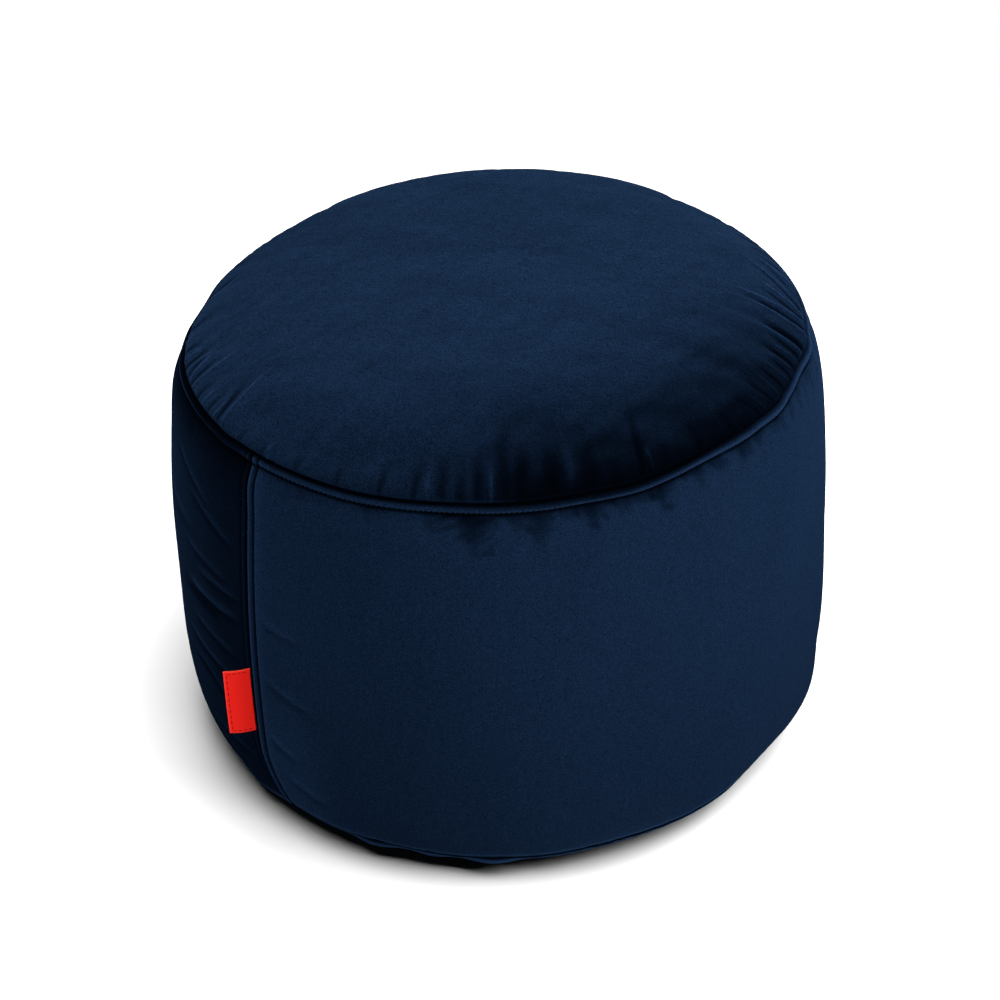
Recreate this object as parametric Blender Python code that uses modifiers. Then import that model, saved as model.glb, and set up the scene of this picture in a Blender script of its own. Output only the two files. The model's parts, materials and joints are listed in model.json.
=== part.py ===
"""Bean bag footstool: a round filled pouf with a crowned top, about half a metre across.

Three cut pieces of velvet hold the filling. The top panel is a round crown. The side panel is one
strip wrapped round the drum, closed by a single upright seam, and its upper edge is turned over and
topstitched as a raised rib. The base panel is flat where it rests and rolls up to its own seam in an
uneven lip. A small bare tab is caught in the upright seam and stands off the wall like a flag.
The pouf is filled, so each panel is solid to the middle, and the pieces part only at the seams.

Units are metres, +Z is up, and the origin is the middle of the resting face. Angles go round the
pouf from its front (-Y), positive towards +X. The tables' angles, turns and slants are in degrees
and their lengths in millimetres; a share is a part of 1.
"""
import math
from collections import namedtuple

import bmesh
import bpy
from mathutils import Vector

MM = 0.001
SEAM_GAP = 0.3 * MM          # parting between two pieces that touch along a seam
MERGE_DISTANCE = 0.05 * MM   # joins the copies of a point where a turned shape closes

# The drum and its slump: the filling has settled, so the top seam dips towards the front left.
TOP_SEAM_HEIGHT = 332 * MM
TOP_SEAM_RADIUS = 225.5 * MM
BASE_SEAM_HEIGHT = 13 * MM
BASE_SEAM_RADIUS = 224.5 * MM
WIDEST_RADIUS = 250 * MM
CROWN_RISE = 48 * MM
RISE_TO_RIGHT = 0.045        # climb of the top seam for each metre towards +X
RISE_TO_BACK = 0.004         # climb of the top seam for each metre towards +Y
LEAN_TO_LEFT = 5 * MM        # how far the top seam stands over to the left of the base

# The raised rib: the side panel's upper edge, turned over and topstitched.
RIB_WIDTH = 8 * MM
RIB_RISE = 2.2 * MM
RIB_POINTS = 5
RIB_SLOPE = math.radians(60)   # how steeply the rib lies, below the horizontal
RIB_FLATNESS = 0.7             # below 1, the rib's section is a flattened arch

# The upright seam at the front left. Shares are of the height between the two round seams.
UPRIGHT_SEAM_ANGLE = math.radians(-45.7)
SEAM_FOOT_SWING = math.radians(3.6)    # the seam swings right at its foot
SEAM_HEAD_SWING = math.radians(-1.1)   # and a little left at its head
FOOT_SWING_SHARE = 0.22                # share of the height that swings at the foot
HEAD_SWING_SHARE = 0.15                # and at the head
SWING_SPREAD = math.radians(22)        # how far round the cloth follows the swing
EVEN_COLUMNS = 168           # evenly spaced columns of cloth, apart from those of the seam

# The tab in the upright seam.
TAB_LENGTH = 60 * MM
TAB_WIDTH = 20 * MM
TAB_THICKNESS = 1.2 * MM
TAB_TOP_HEIGHT = 154 * MM
TAB_STAND_OFF = math.radians(40)   # angle between the tab and the wall behind it
TAB_DROOP = 5 * MM                 # drop of its free edge
TAB_CURL = 1.2 * MM                # bow of the tab across its width
TAB_ROOT_OFFSET = -0.2 * MM        # root line, along the wall from the seam's own line
TAB_ROOT_LIFT = 0.8 * MM           # root line, out from the seam's valley: half the cloth and a gap
TAB_CELLS_ACROSS = 4
TAB_CELLS_ALONG = 8

# How the cloth leaves its seams.
BASE_SEAM_HOLD = 12 * MM     # height over which the base seam holds the wall to an even ring
TOP_SEAM_HOLD = 2 * MM       # depth over which the top seam holds the rib to an even ring
CROWN_SEAM_HOLD = 12 * MM    # reach over which the top seam holds the crown to an even ring
TUCK_ROOT_SHARE = 0.12       # share of a tuck's reach over which it deepens from the seam
TUCK_FADE_SHARE = 0.25       # share of its reach from which it fades out

WallStation = namedtuple("WallStation", "height radius")
WALL = (
    WallStation(13.3, 224.5),
    WallStation(17, 231.6),
    WallStation(25, 238.6),
    WallStation(38, 243.4),
    WallStation(58, 247.0),
    WallStation(88, 249.3),
    WallStation(125, 250.0),
    WallStation(165, 249.8),
    WallStation(205, 248.4),
    WallStation(239, 246.0),
    WallStation(267, 243.4),
    WallStation(288, 240.9),
    WallStation(303, 238.5),
    WallStation(313, 235.9),
    WallStation(320, 232.6),
)

Swell = namedtuple("Swell", "angle height half_turn half_height out")
WALL_SWELLS = (
    Swell(50, 45, 30, 45, -2.0),
    Swell(76, 95, 40, 90, 3.0),
    Swell(-92, 150, 35, 80, -1.5),
    Swell(-24, 45, 28, 45, 2.6),
    Swell(-150, 110, 50, 90, 2.5),
    Swell(150, 210, 45, 80, -2.0),
)

# Where the whole ring of the top seam, rib and crown edge is drawn in out of round.
RING_SWELLS = (
    Swell(-112, 325, 45, 50, -2.5),
    Swell(108, 325, 45, 50, -2.0),
)

# On the crown, the height column is the distance in from the seam.
CROWN_SWELLS = (
    Swell(-160, 26, 42, 70, 3.0),
    Swell(162, 26, 42, 70, 2.8),
    Swell(-124, 22, 26, 60, -3.0),
    Swell(126, 22, 24, 60, -3.0),
    Swell(-30, 60, 40, 70, 1.2),
)

CrownStation = namedtuple("CrownStation", "radius_share rise_share")
CROWN = (
    CrownStation(1.0, 0.0),
    CrownStation(0.990, 0.08),
    CrownStation(0.970, 0.165),
    CrownStation(0.935, 0.27),
    CrownStation(0.885, 0.40),
    CrownStation(0.82, 0.54),
    CrownStation(0.74, 0.67),
    CrownStation(0.62, 0.795),
    CrownStation(0.47, 0.89),
    CrownStation(0.31, 0.955),
    CrownStation(0.15, 0.985),
    CrownStation(0.0, 1.0),
)

# The base panel's rolled edge, from the seam down to the edge of its flat resting face.
BaseStation = namedtuple("BaseStation", "height radius")
BASE_EDGE = (
    BaseStation(9.5, 222.6),
    BaseStation(5.5, 219.2),
    BaseStation(2.2, 213.0),
    BaseStation(0.0, 203.0),
)

# Section of the upright seam: a flat stitched band, the seam's valley and a folded ridge.
SeamPoint = namedtuple("SeamPoint", "offset rise")
UPRIGHT_SEAM = (
    SeamPoint(-9.0, 0.0),
    SeamPoint(-6.6, -0.5),
    SeamPoint(-5.0, 0.5),
    SeamPoint(-2.0, 0.4),
    SeamPoint(-0.6, -0.7),
    SeamPoint(0.4, -0.5),
    SeamPoint(1.2, 1.2),
    SeamPoint(3.2, 1.6),
    SeamPoint(5.6, 1.2),
    SeamPoint(7.2, -0.6),
    SeamPoint(9.6, 0.1),
)

# Tucks radiate from the top seam. The slant is how far a tuck turns, in degrees, over its reach.
Tuck = namedtuple("Tuck", "angle reach half_width depth slant")
CROWN_TUCKS = (
    Tuck(-172, 36, 14, 3.0, 2),
    Tuck(-158, 28, 13, 2.6, -2),
    Tuck(-143, 40, 15, 3.4, 3),
    Tuck(-127, 30, 13, 2.8, 2),
    Tuck(-113, 36, 14, 3.4, -6),
    Tuck(-99, 42, 13, 3.6, -8),
    Tuck(-87, 28, 12, 2.6, 2),
    Tuck(-77, 40, 12, 3.6, 3),
    Tuck(-67, 28, 12, 2.4, 2),
    Tuck(-57, 42, 13, 3.2, -1),
    Tuck(-41, 26, 13, 2.2, 0),
    Tuck(-26, 26, 12, 2.2, 0),
    Tuck(-13, 28, 11, 2.8, 0),
    Tuck(-4, 30, 11, 3.0, 0),
    Tuck(4.5, 28, 11, 2.8, 1),
    Tuck(12, 32, 11, 3.2, 1),
    Tuck(20, 30, 11, 2.8, 1),
    Tuck(29, 34, 12, 3.4, 2),
    Tuck(40, 28, 13, 2.6, 1),
    Tuck(52, 32, 13, 3.0, -1),
    Tuck(62, 30, 11, 3.0, -2),
    Tuck(70, 38, 11, 3.4, -2),
    Tuck(77.5, 46, 11, 4.0, -2),
    Tuck(86, 54, 12, 4.4, 2),
    Tuck(97, 60, 13, 4.4, 12),
    Tuck(111, 38, 13, 3.4, 6),
    Tuck(126, 32, 14, 3.0, 3),
    Tuck(141, 38, 14, 3.2, -2),
    Tuck(157, 30, 13, 2.8, 2),
)
WALL_TUCKS = (
    Tuck(-160, 30, 17, 2.4, 0),
    Tuck(-131, 36, 18, 2.8, 0),
    Tuck(-104, 28, 16, 2.4, 0),
    Tuck(-76, 34, 15, 2.6, 2),
    Tuck(-60, 30, 13, 2.2, -3),
    Tuck(-28, 24, 16, 1.8, 0),
    Tuck(-10, 40, 19, 3.0, 0),
    Tuck(11, 30, 15, 2.6, 0),
    Tuck(25, 36, 15, 3.0, 0),
    Tuck(38, 28, 14, 2.4, 0),
    Tuck(51, 28, 15, 2.4, 0),
    Tuck(69, 36, 13, 3.2, 0),
    Tuck(80, 44, 13, 3.4, -2),
    Tuck(94, 34, 15, 2.8, 0),
    Tuck(118, 36, 17, 2.8, 0),
    Tuck(149, 32, 16, 2.6, 0),
    Tuck(173, 28, 15, 2.4, 0),
)

# Where the base panel's edge rolls out past its seam. The half width is in degrees.
Lip = namedtuple("Lip", "angle half_width bulge")
LIPS = (
    Lip(-162, 9, 6),
    Lip(-118, 7, 5),
    Lip(-84, 10, 5),
    Lip(-52, 8, 4),
    Lip(-25, 8, 6),
    Lip(-12, 5, 4),
    Lip(0, 6, 9),
    Lip(21, 12, 4),
    Lip(58, 9, 4),
    Lip(96, 8, 6),
    Lip(137, 10, 5),
)

Finish = namedtuple("Finish", "name colour roughness")
VELVET = Finish("navy_velvet", (0.008, 0.022, 0.072, 1.0), 0.85)
TAB_CLOTH = Finish("red_woven_tab", (0.60, 0.020, 0.012, 1.0), 0.7)


def make_material(finish):
    """A plain surface in the finish's colour."""
    material = bpy.data.materials.new(finish.name)
    material.use_nodes = True
    surface = material.node_tree.nodes["Principled BSDF"]
    surface.inputs["Base Color"].default_value = finish.colour
    surface.inputs["Roughness"].default_value = finish.roughness
    surface.inputs["Metallic"].default_value = 0.0
    return material


def smooth_step(share):
    """Runs from 0 to 1 with no corner at either end."""
    share = min(max(share, 0.0), 1.0)
    return share * share * (3.0 - 2.0 * share)


def turn_between(angle, other):
    """The shorter way round from one angle to another."""
    return (angle - other + math.pi) % math.tau - math.pi


def seam_columns():
    """Angles of the columns of cloth: close together over the upright seam, even elsewhere."""
    over_seam = [
        UPRIGHT_SEAM_ANGLE + point.offset * MM / WIDEST_RADIUS for point in UPRIGHT_SEAM
    ]
    free_turn = math.tau - (over_seam[-1] - over_seam[0])
    step = free_turn / (EVEN_COLUMNS + 1)
    return over_seam + [over_seam[-1] + step * (index + 1) for index in range(EVEN_COLUMNS)]


COLUMN_ANGLES = seam_columns()
COLUMN_COUNT = len(COLUMN_ANGLES)


def seam_rise(angle):
    """Height of the upright seam's section over the plain wall, at one of the column angles."""
    offset = turn_between(angle, UPRIGHT_SEAM_ANGLE) * WIDEST_RADIUS / MM
    for before, after in zip(UPRIGHT_SEAM, UPRIGHT_SEAM[1:]):
        if before.offset <= offset <= after.offset:
            share = (offset - before.offset) / (after.offset - before.offset)
            return (before.rise + share * (after.rise - before.rise)) * MM
    return 0.0


def seam_swing(angle, share):
    """How far the cloth near the upright seam swings round, at a share of the height."""
    foot = SEAM_FOOT_SWING * smooth_step(1.0 - share / FOOT_SWING_SHARE)
    head = SEAM_HEAD_SWING * smooth_step((share - 1.0 + HEAD_SWING_SHARE) / HEAD_SWING_SHARE)
    nearness = 1.0 - smooth_step(abs(turn_between(angle, UPRIGHT_SEAM_ANGLE)) / SWING_SPREAD)
    return (foot + head) * nearness


def hump(share):
    """A smooth hump: 1 at the middle, 0 from -1 outwards and from 1 outwards."""
    if abs(share) >= 1.0:
        return 0.0
    return math.cos(share * math.pi / 2.0) ** 2


def tuck_depth(tucks, angle, radius, from_seam):
    """Depth of the tucks at a place, given by its angle, radius and distance from the seam."""
    depth = 0.0
    for tuck in tucks:
        along = from_seam / (tuck.reach * MM)
        if along >= 1.0:
            continue
        middle = math.radians(tuck.angle + tuck.slant * along)
        across = turn_between(angle, middle) * radius / (tuck.half_width * MM)
        deepening = smooth_step(along / TUCK_ROOT_SHARE)
        fading = 1.0 - smooth_step((along - TUCK_FADE_SHARE) / (1.0 - TUCK_FADE_SHARE))
        depth += tuck.depth * MM * hump(across) * deepening * fading
    return depth


def swelling(swells, angle, height):
    """How far the filling pushes a panel out, or lets it in, at a place."""
    out = 0.0
    for swell in swells:
        across = turn_between(angle, math.radians(swell.angle)) / math.radians(swell.half_turn)
        up = (height - swell.height * MM) / (swell.half_height * MM)
        out += swell.out * MM * hump(across) * hump(up)
    return out


def settled(angle, radius, height):
    """The place that a point of the upright, even drum settles to."""
    share = (height - BASE_SEAM_HEIGHT) / (TOP_SEAM_HEIGHT - BASE_SEAM_HEIGHT)
    share = min(max(share, 0.0), 1.0)
    radius += swelling(RING_SWELLS, angle, height) * radius / TOP_SEAM_RADIUS
    angle += seam_swing(angle, share)
    to_right = radius * math.sin(angle)
    to_back = -radius * math.cos(angle)
    climb = RISE_TO_RIGHT * to_right + RISE_TO_BACK * to_back
    return Vector((to_right - LEAN_TO_LEFT * share, to_back, height + climb * share))


def turned(profile):
    """Spins a profile of (radius, height) pairs round the axis, with a column at each angle.

    The profile runs from the axis at the bottom, round the outside, to the axis at the top.
    """
    turned_mesh = bmesh.new()
    points = [turned_mesh.verts.new((0.0, -radius, height)) for radius, height in profile]
    edges = [turned_mesh.edges.new(pair) for pair in zip(points, points[1:])]
    bmesh.ops.spin(
        turned_mesh,
        geom=points + edges,
        cent=(0.0, 0.0, 0.0),
        axis=(0.0, 0.0, 1.0),
        angle=math.tau,
        steps=COLUMN_COUNT,
        use_merge=True,
    )
    bmesh.ops.remove_doubles(turned_mesh, verts=turned_mesh.verts, dist=MERGE_DISTANCE)
    bmesh.ops.recalc_face_normals(turned_mesh, faces=turned_mesh.faces)
    return turned_mesh


def shape(turned_mesh, relief, level=False):
    """Raises a turned mesh by relief(angle, radius, height), then lets it settle.

    The relief stands along the mesh's own normals, or straight out from the axis if level is set.
    """
    turned_mesh.normal_update()
    normals = [vert.normal.copy() for vert in turned_mesh.verts]
    even_step = math.tau / COLUMN_COUNT
    for vert, normal in zip(turned_mesh.verts, normals):
        radius = math.hypot(vert.co.x, vert.co.y)
        height = vert.co.z
        if radius > MERGE_DISTANCE:
            column = round(math.atan2(vert.co.x, -vert.co.y) / even_step) % COLUMN_COUNT
            angle = COLUMN_ANGLES[column]
            rise = relief(angle, radius, height)
            out = (normal.x * vert.co.x + normal.y * vert.co.y) / radius
            radius += rise * (1.0 if level else out)
            height += rise * (0.0 if level else normal.z)
            vert.co = settled(angle, radius, height)
        else:
            vert.co = settled(0.0, 0.0, height)


def add_piece(name, piece_mesh, material, collection):
    """Makes a named object of a bmesh."""
    mesh = bpy.data.meshes.new(name)
    piece_mesh.to_mesh(mesh)
    piece_mesh.free()
    mesh.materials.append(material)
    mesh.shade_smooth()
    piece = bpy.data.objects.new(name, mesh)
    collection.objects.link(piece)
    return piece


def rib_profile():
    """The rib's section as (radius, height) pairs, from its lower stitch line up to the seam."""
    points = []
    for index in range(RIB_POINTS + 2):
        share = 1.0 - index / (RIB_POINTS + 1)
        along = RIB_WIDTH * share
        rise = RIB_RISE * math.sin(math.pi * share) ** RIB_FLATNESS
        out = along * math.cos(RIB_SLOPE) + rise * math.sin(RIB_SLOPE)
        down = along * math.sin(RIB_SLOPE) - rise * math.cos(RIB_SLOPE)
        points.append((TOP_SEAM_RADIUS + out, TOP_SEAM_HEIGHT - SEAM_GAP - down))
    return points


RIB_FOOT_HEIGHT = rib_profile()[0][1]


def wall_relief(angle, radius, height):
    """How far the wall stands out at a place: swelling, upright seam and tucks under the rib."""
    above_base = smooth_step((height - BASE_SEAM_HEIGHT) / BASE_SEAM_HOLD)
    below_top = smooth_step((TOP_SEAM_HEIGHT - height) / TOP_SEAM_HOLD)
    from_rib = max(RIB_FOOT_HEIGHT - height, 0.0)
    rise = swelling(WALL_SWELLS, angle, height) + seam_rise(angle)
    rise -= tuck_depth(WALL_TUCKS, angle, radius, from_rib)
    return rise * above_base * below_top


def crown_relief(angle, radius, height):
    """How far the crown stands out at a place: swelling, less the tucks at its seam."""
    from_seam = math.hypot(TOP_SEAM_RADIUS - radius, height - TOP_SEAM_HEIGHT)
    rise = swelling(CROWN_SWELLS, angle, from_seam) * smooth_step(from_seam / CROWN_SEAM_HOLD)
    return rise - tuck_depth(CROWN_TUCKS, angle, radius, from_seam)


def base_relief(angle, radius, height):
    """How far the base panel's rolled edge stands out at a place."""
    bulge = 0.0
    for lip in LIPS:
        across = turn_between(angle, math.radians(lip.angle)) / math.radians(lip.half_width)
        bulge += lip.bulge * MM * hump(across)
    return bulge * math.sin(math.pi * height / BASE_SEAM_HEIGHT)


def make_side_panel(material, collection):
    """The drum's wall, filled to the middle, with its rib, upright seam and shallow tucks."""
    wall = [(station.radius * MM, station.height * MM) for station in WALL]
    top_height = TOP_SEAM_HEIGHT - SEAM_GAP
    profile = [(0.0, WALL[0].height * MM)] + wall + rib_profile() + [(0.0, top_height)]
    mesh = turned(profile)
    shape(mesh, wall_relief)
    return add_piece("side_panel", mesh, material, collection)


def make_top_panel(material, collection):
    """The crown above the top seam, drawn down steeply to it in a ring of tucks."""
    profile = [(0.0, TOP_SEAM_HEIGHT)]
    for station in CROWN:
        radius = TOP_SEAM_RADIUS * station.radius_share
        profile.append((radius, TOP_SEAM_HEIGHT + CROWN_RISE * station.rise_share))
    mesh = turned(profile)
    shape(mesh, crown_relief)
    return add_piece("top_panel", mesh, material, collection)


def make_base_panel(material, collection):
    """The base under the lower seam: flat where it rests, with an uneven rolled edge."""
    edge = [(station.radius * MM, station.height * MM) for station in reversed(BASE_EDGE)]
    profile = [(0.0, 0.0)] + edge + [(BASE_SEAM_RADIUS, BASE_SEAM_HEIGHT), (0.0, BASE_SEAM_HEIGHT)]
    mesh = turned(profile)
    shape(mesh, base_relief, level=True)
    return add_piece("base_panel", mesh, material, collection)


def wall_radius_at(height):
    """The plain wall's radius at a height."""
    for lower, upper in zip(WALL, WALL[1:]):
        if lower.height * MM <= height <= upper.height * MM:
            share = (height / MM - lower.height) / (upper.height - lower.height)
            return (lower.radius + share * (upper.radius - lower.radius)) * MM
    return WIDEST_RADIUS


def make_tab(material, collection):
    """The bare tab: a thin cloth flag whose root lies along the upright seam."""
    tab_mesh = bmesh.new()
    bmesh.ops.create_grid(
        tab_mesh, x_segments=TAB_CELLS_ACROSS, y_segments=TAB_CELLS_ALONG, size=0.5
    )
    root_angle = UPRIGHT_SEAM_ANGLE + TAB_ROOT_OFFSET / WIDEST_RADIUS
    outward = Vector((math.sin(root_angle), -math.cos(root_angle), 0.0))
    leftward = Vector((-math.cos(root_angle), -math.sin(root_angle), 0.0))
    reach = leftward * math.cos(TAB_STAND_OFF) + outward * math.sin(TAB_STAND_OFF)
    face = outward * math.cos(TAB_STAND_OFF) - leftward * math.sin(TAB_STAND_OFF)
    for vert in tab_mesh.verts:
        across = 0.5 - vert.co.x
        height = TAB_TOP_HEIGHT - TAB_LENGTH * (0.5 - vert.co.y)
        radius = wall_radius_at(height)
        radius += wall_relief(root_angle, radius, height) + TAB_ROOT_LIFT
        bow = TAB_CURL * math.sin(math.pi * across)
        droop = Vector((0.0, 0.0, -TAB_DROOP * across))
        root = settled(root_angle, radius, height)
        vert.co = root + reach * (TAB_WIDTH * across) + face * bow + droop
    bmesh.ops.recalc_face_normals(tab_mesh, faces=tab_mesh.faces)
    tab = add_piece("tab", tab_mesh, material, collection)
    thickness = tab.modifiers.new("cloth_thickness", "SOLIDIFY")
    thickness.thickness = TAB_THICKNESS
    thickness.offset = 0.0
    return tab


def clear_scene():
    """Removes the objects that the file opened with."""
    for leftover in list(bpy.data.objects):
        bpy.data.objects.remove(leftover, do_unlink=True)


def build_footstool():
    """Builds the four pieces in one collection."""
    clear_scene()
    collection = bpy.data.collections.new("bean_bag_footstool")
    bpy.context.scene.collection.children.link(collection)
    velvet = make_material(VELVET)
    tab_cloth = make_material(TAB_CLOTH)
    make_base_panel(velvet, collection)
    make_side_panel(velvet, collection)
    make_top_panel(velvet, collection)
    make_tab(tab_cloth, collection)


build_footstool()
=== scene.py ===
import json
import math
from collections import namedtuple

import bmesh
import bpy
import numpy as np
from mathutils import Matrix, Vector

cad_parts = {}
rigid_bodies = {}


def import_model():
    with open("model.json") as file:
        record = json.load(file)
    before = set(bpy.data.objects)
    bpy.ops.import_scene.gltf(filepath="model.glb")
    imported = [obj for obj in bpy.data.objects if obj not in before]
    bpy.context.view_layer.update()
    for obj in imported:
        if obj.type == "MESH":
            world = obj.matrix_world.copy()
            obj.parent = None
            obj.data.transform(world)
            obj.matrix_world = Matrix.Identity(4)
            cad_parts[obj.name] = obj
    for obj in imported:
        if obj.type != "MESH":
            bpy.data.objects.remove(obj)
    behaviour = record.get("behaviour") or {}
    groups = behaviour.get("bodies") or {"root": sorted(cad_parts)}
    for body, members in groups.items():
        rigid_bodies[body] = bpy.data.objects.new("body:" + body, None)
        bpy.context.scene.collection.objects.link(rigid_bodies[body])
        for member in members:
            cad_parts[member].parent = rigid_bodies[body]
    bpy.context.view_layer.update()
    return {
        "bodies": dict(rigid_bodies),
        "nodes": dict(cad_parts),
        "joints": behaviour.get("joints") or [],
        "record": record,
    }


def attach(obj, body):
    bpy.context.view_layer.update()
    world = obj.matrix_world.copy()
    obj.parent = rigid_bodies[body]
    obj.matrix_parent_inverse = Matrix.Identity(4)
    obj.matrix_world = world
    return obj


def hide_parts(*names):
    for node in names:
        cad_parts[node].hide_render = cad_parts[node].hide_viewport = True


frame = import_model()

MM = 0.001
SEED = 11


def table(kind, rows):
    """A table's rows, each as one named tuple."""
    return tuple(kind(*row) for row in rows)


# ---------------------------------------------------------------- the form, as the solids have it

TOP_SEAM_HEIGHT = 332 * MM
TOP_SEAM_RADIUS = 225.5 * MM
BASE_SEAM_HEIGHT = 13 * MM
WIDEST_RADIUS = 250 * MM
CROWN_RISE = 48 * MM
RISE_TO_RIGHT = 0.045
RISE_TO_BACK = 0.004
LEAN_TO_LEFT = 5 * MM
SEAM_GAP = 0.3 * MM

RIB_WIDTH = 6.3 * MM
RIB_RISE = 2.4 * MM
RIB_SLOPE = math.radians(60)
RIB_FLATNESS = 0.6

UPRIGHT_SEAM_ANGLE = math.radians(-45.7)
SEAM_FOOT_SWING = math.radians(3.6)
SEAM_HEAD_SWING = math.radians(-1.1)
FOOT_SWING_SHARE = 0.22
HEAD_SWING_SHARE = 0.15
SWING_SPREAD = math.radians(22)

TAB_LENGTH = 60 * MM
TAB_WIDTH = 20 * MM
TAB_THICKNESS = 1.2 * MM
TAB_TOP_HEIGHT = 154 * MM
TAB_STAND_OFF = math.radians(40)
TAB_DROOP = 5 * MM
TAB_CURL = 1.2 * MM
TAB_ROOT_OFFSET = -0.2 * MM
TAB_ROOT_LIFT = 0.8 * MM

BASE_SEAM_HOLD = 12 * MM
TOP_SEAM_HOLD = 2 * MM
CROWN_SEAM_HOLD = 12 * MM
TUCK_ROOT_SHARE = 0.12
TUCK_FADE_SHARE = 0.35

Station = namedtuple("Station", "radius height")
WALL = table(Station, (
    (224.5, 13.3), (231.6, 17), (238.6, 25), (243.4, 38), (247.0, 58), (249.3, 88), (250.0, 125),
    (249.8, 165), (248.4, 205), (246.0, 239), (243.4, 267), (240.9, 288), (238.5, 303),
    (235.9, 313), (232.6, 320),
))
CrownStation = namedtuple("CrownStation", "radius_share rise_share")
CROWN = table(CrownStation, (
    (1.0, 0.0), (0.990, 0.08), (0.970, 0.165), (0.935, 0.27), (0.885, 0.40), (0.82, 0.54),
    (0.74, 0.67), (0.62, 0.795), (0.47, 0.89), (0.31, 0.955), (0.15, 0.985), (0.0, 1.0),
))
BASE_EDGE = table(Station, (
    (203.0, 0.0), (213.0, 2.2), (219.2, 5.5), (222.6, 9.5), (224.5, 13.0),
))
Swell = namedtuple("Swell", "angle height half_turn half_height out")
WALL_SWELLS = table(Swell, (
    (50, 45, 30, 45, -2.0), (76, 95, 40, 90, 3.0), (72, 47, 18, 33, 4.4), (56, 24, 12, 18, -3.2),
    (-92, 150, 35, 80, -1.5), (-24, 45, 28, 45, 2.6), (-19, 24, 14, 22, -1.4),
    (22, 22, 17, 24, -2.5), (-150, 110, 50, 90, 2.5), (150, 210, 45, 80, -2.0),
))
RING_SWELLS = table(Swell, (
    (-112, 325, 45, 50, -2.5), (108, 325, 45, 50, -2.0), (-102, 325, 10, 40, -2.2),
    (-82, 320, 16, 50, 1.8), (-70, 328, 30, 30, 1.9), (-54, 328, 5, 30, 1.0),
    (-25, 328, 9, 30, 0.8), (-8, 328, 10, 30, -1.0), (14, 328, 6, 30, -0.8), (24, 328, 6, 30, 1.2),
    (39, 328, 12, 30, -2.6), (58, 328, 7, 30, 1.9), (70, 328, 6, 30, -1.1),
    (78.5, 328, 6.5, 30, 2.0),
))
CROWN_SWELLS = table(Swell, (
    (-160, 26, 42, 70, 3.0), (162, 26, 42, 70, 2.8), (-124, 22, 26, 60, -3.0),
    (126, 22, 24, 60, -3.0), (-30, 60, 40, 70, 1.2),
))
# Section of the upright seam: a flat stitched band, the seam's valley and a folded ridge. Its last
# column is tone and painted light against the plain wall's: painted shade in the valleys, a painted
# highlight on the ridge.
SeamPoint = namedtuple("SeamPoint", "offset rise nap")
UPRIGHT_SEAM = table(SeamPoint, (
    (-9.0, 0.0, 1.0), (-7.0, 0.0, 0.8), (-5.8, -0.2, 0.5), (-5.0, -0.7, 0.05), (-4.2, 0.1, 0.5),
    (-3.0, 0.5, 1.2), (-1.6, 0.4, 0.8), (-0.6, -0.4, 0.1), (0.2, -1.3, 0.0), (2.1, -1.3, 0.0),
    (3.0, 0.1, 0.5), (3.6, 0.9, 1.9), (5.0, 1.15, 1.9), (5.7, 1.2, 1.05), (7.2, 1.0, 0.95),
    (8.0, 0.2, 0.6), (8.5, -0.8, 0.0), (9.3, -0.8, 0.0), (10.0, 0.1, 1.67), (12.5, 0.2, 1.3),
    (18.0, 0.1, 1.05), (24.0, 0.0, 1.0),
))
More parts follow.
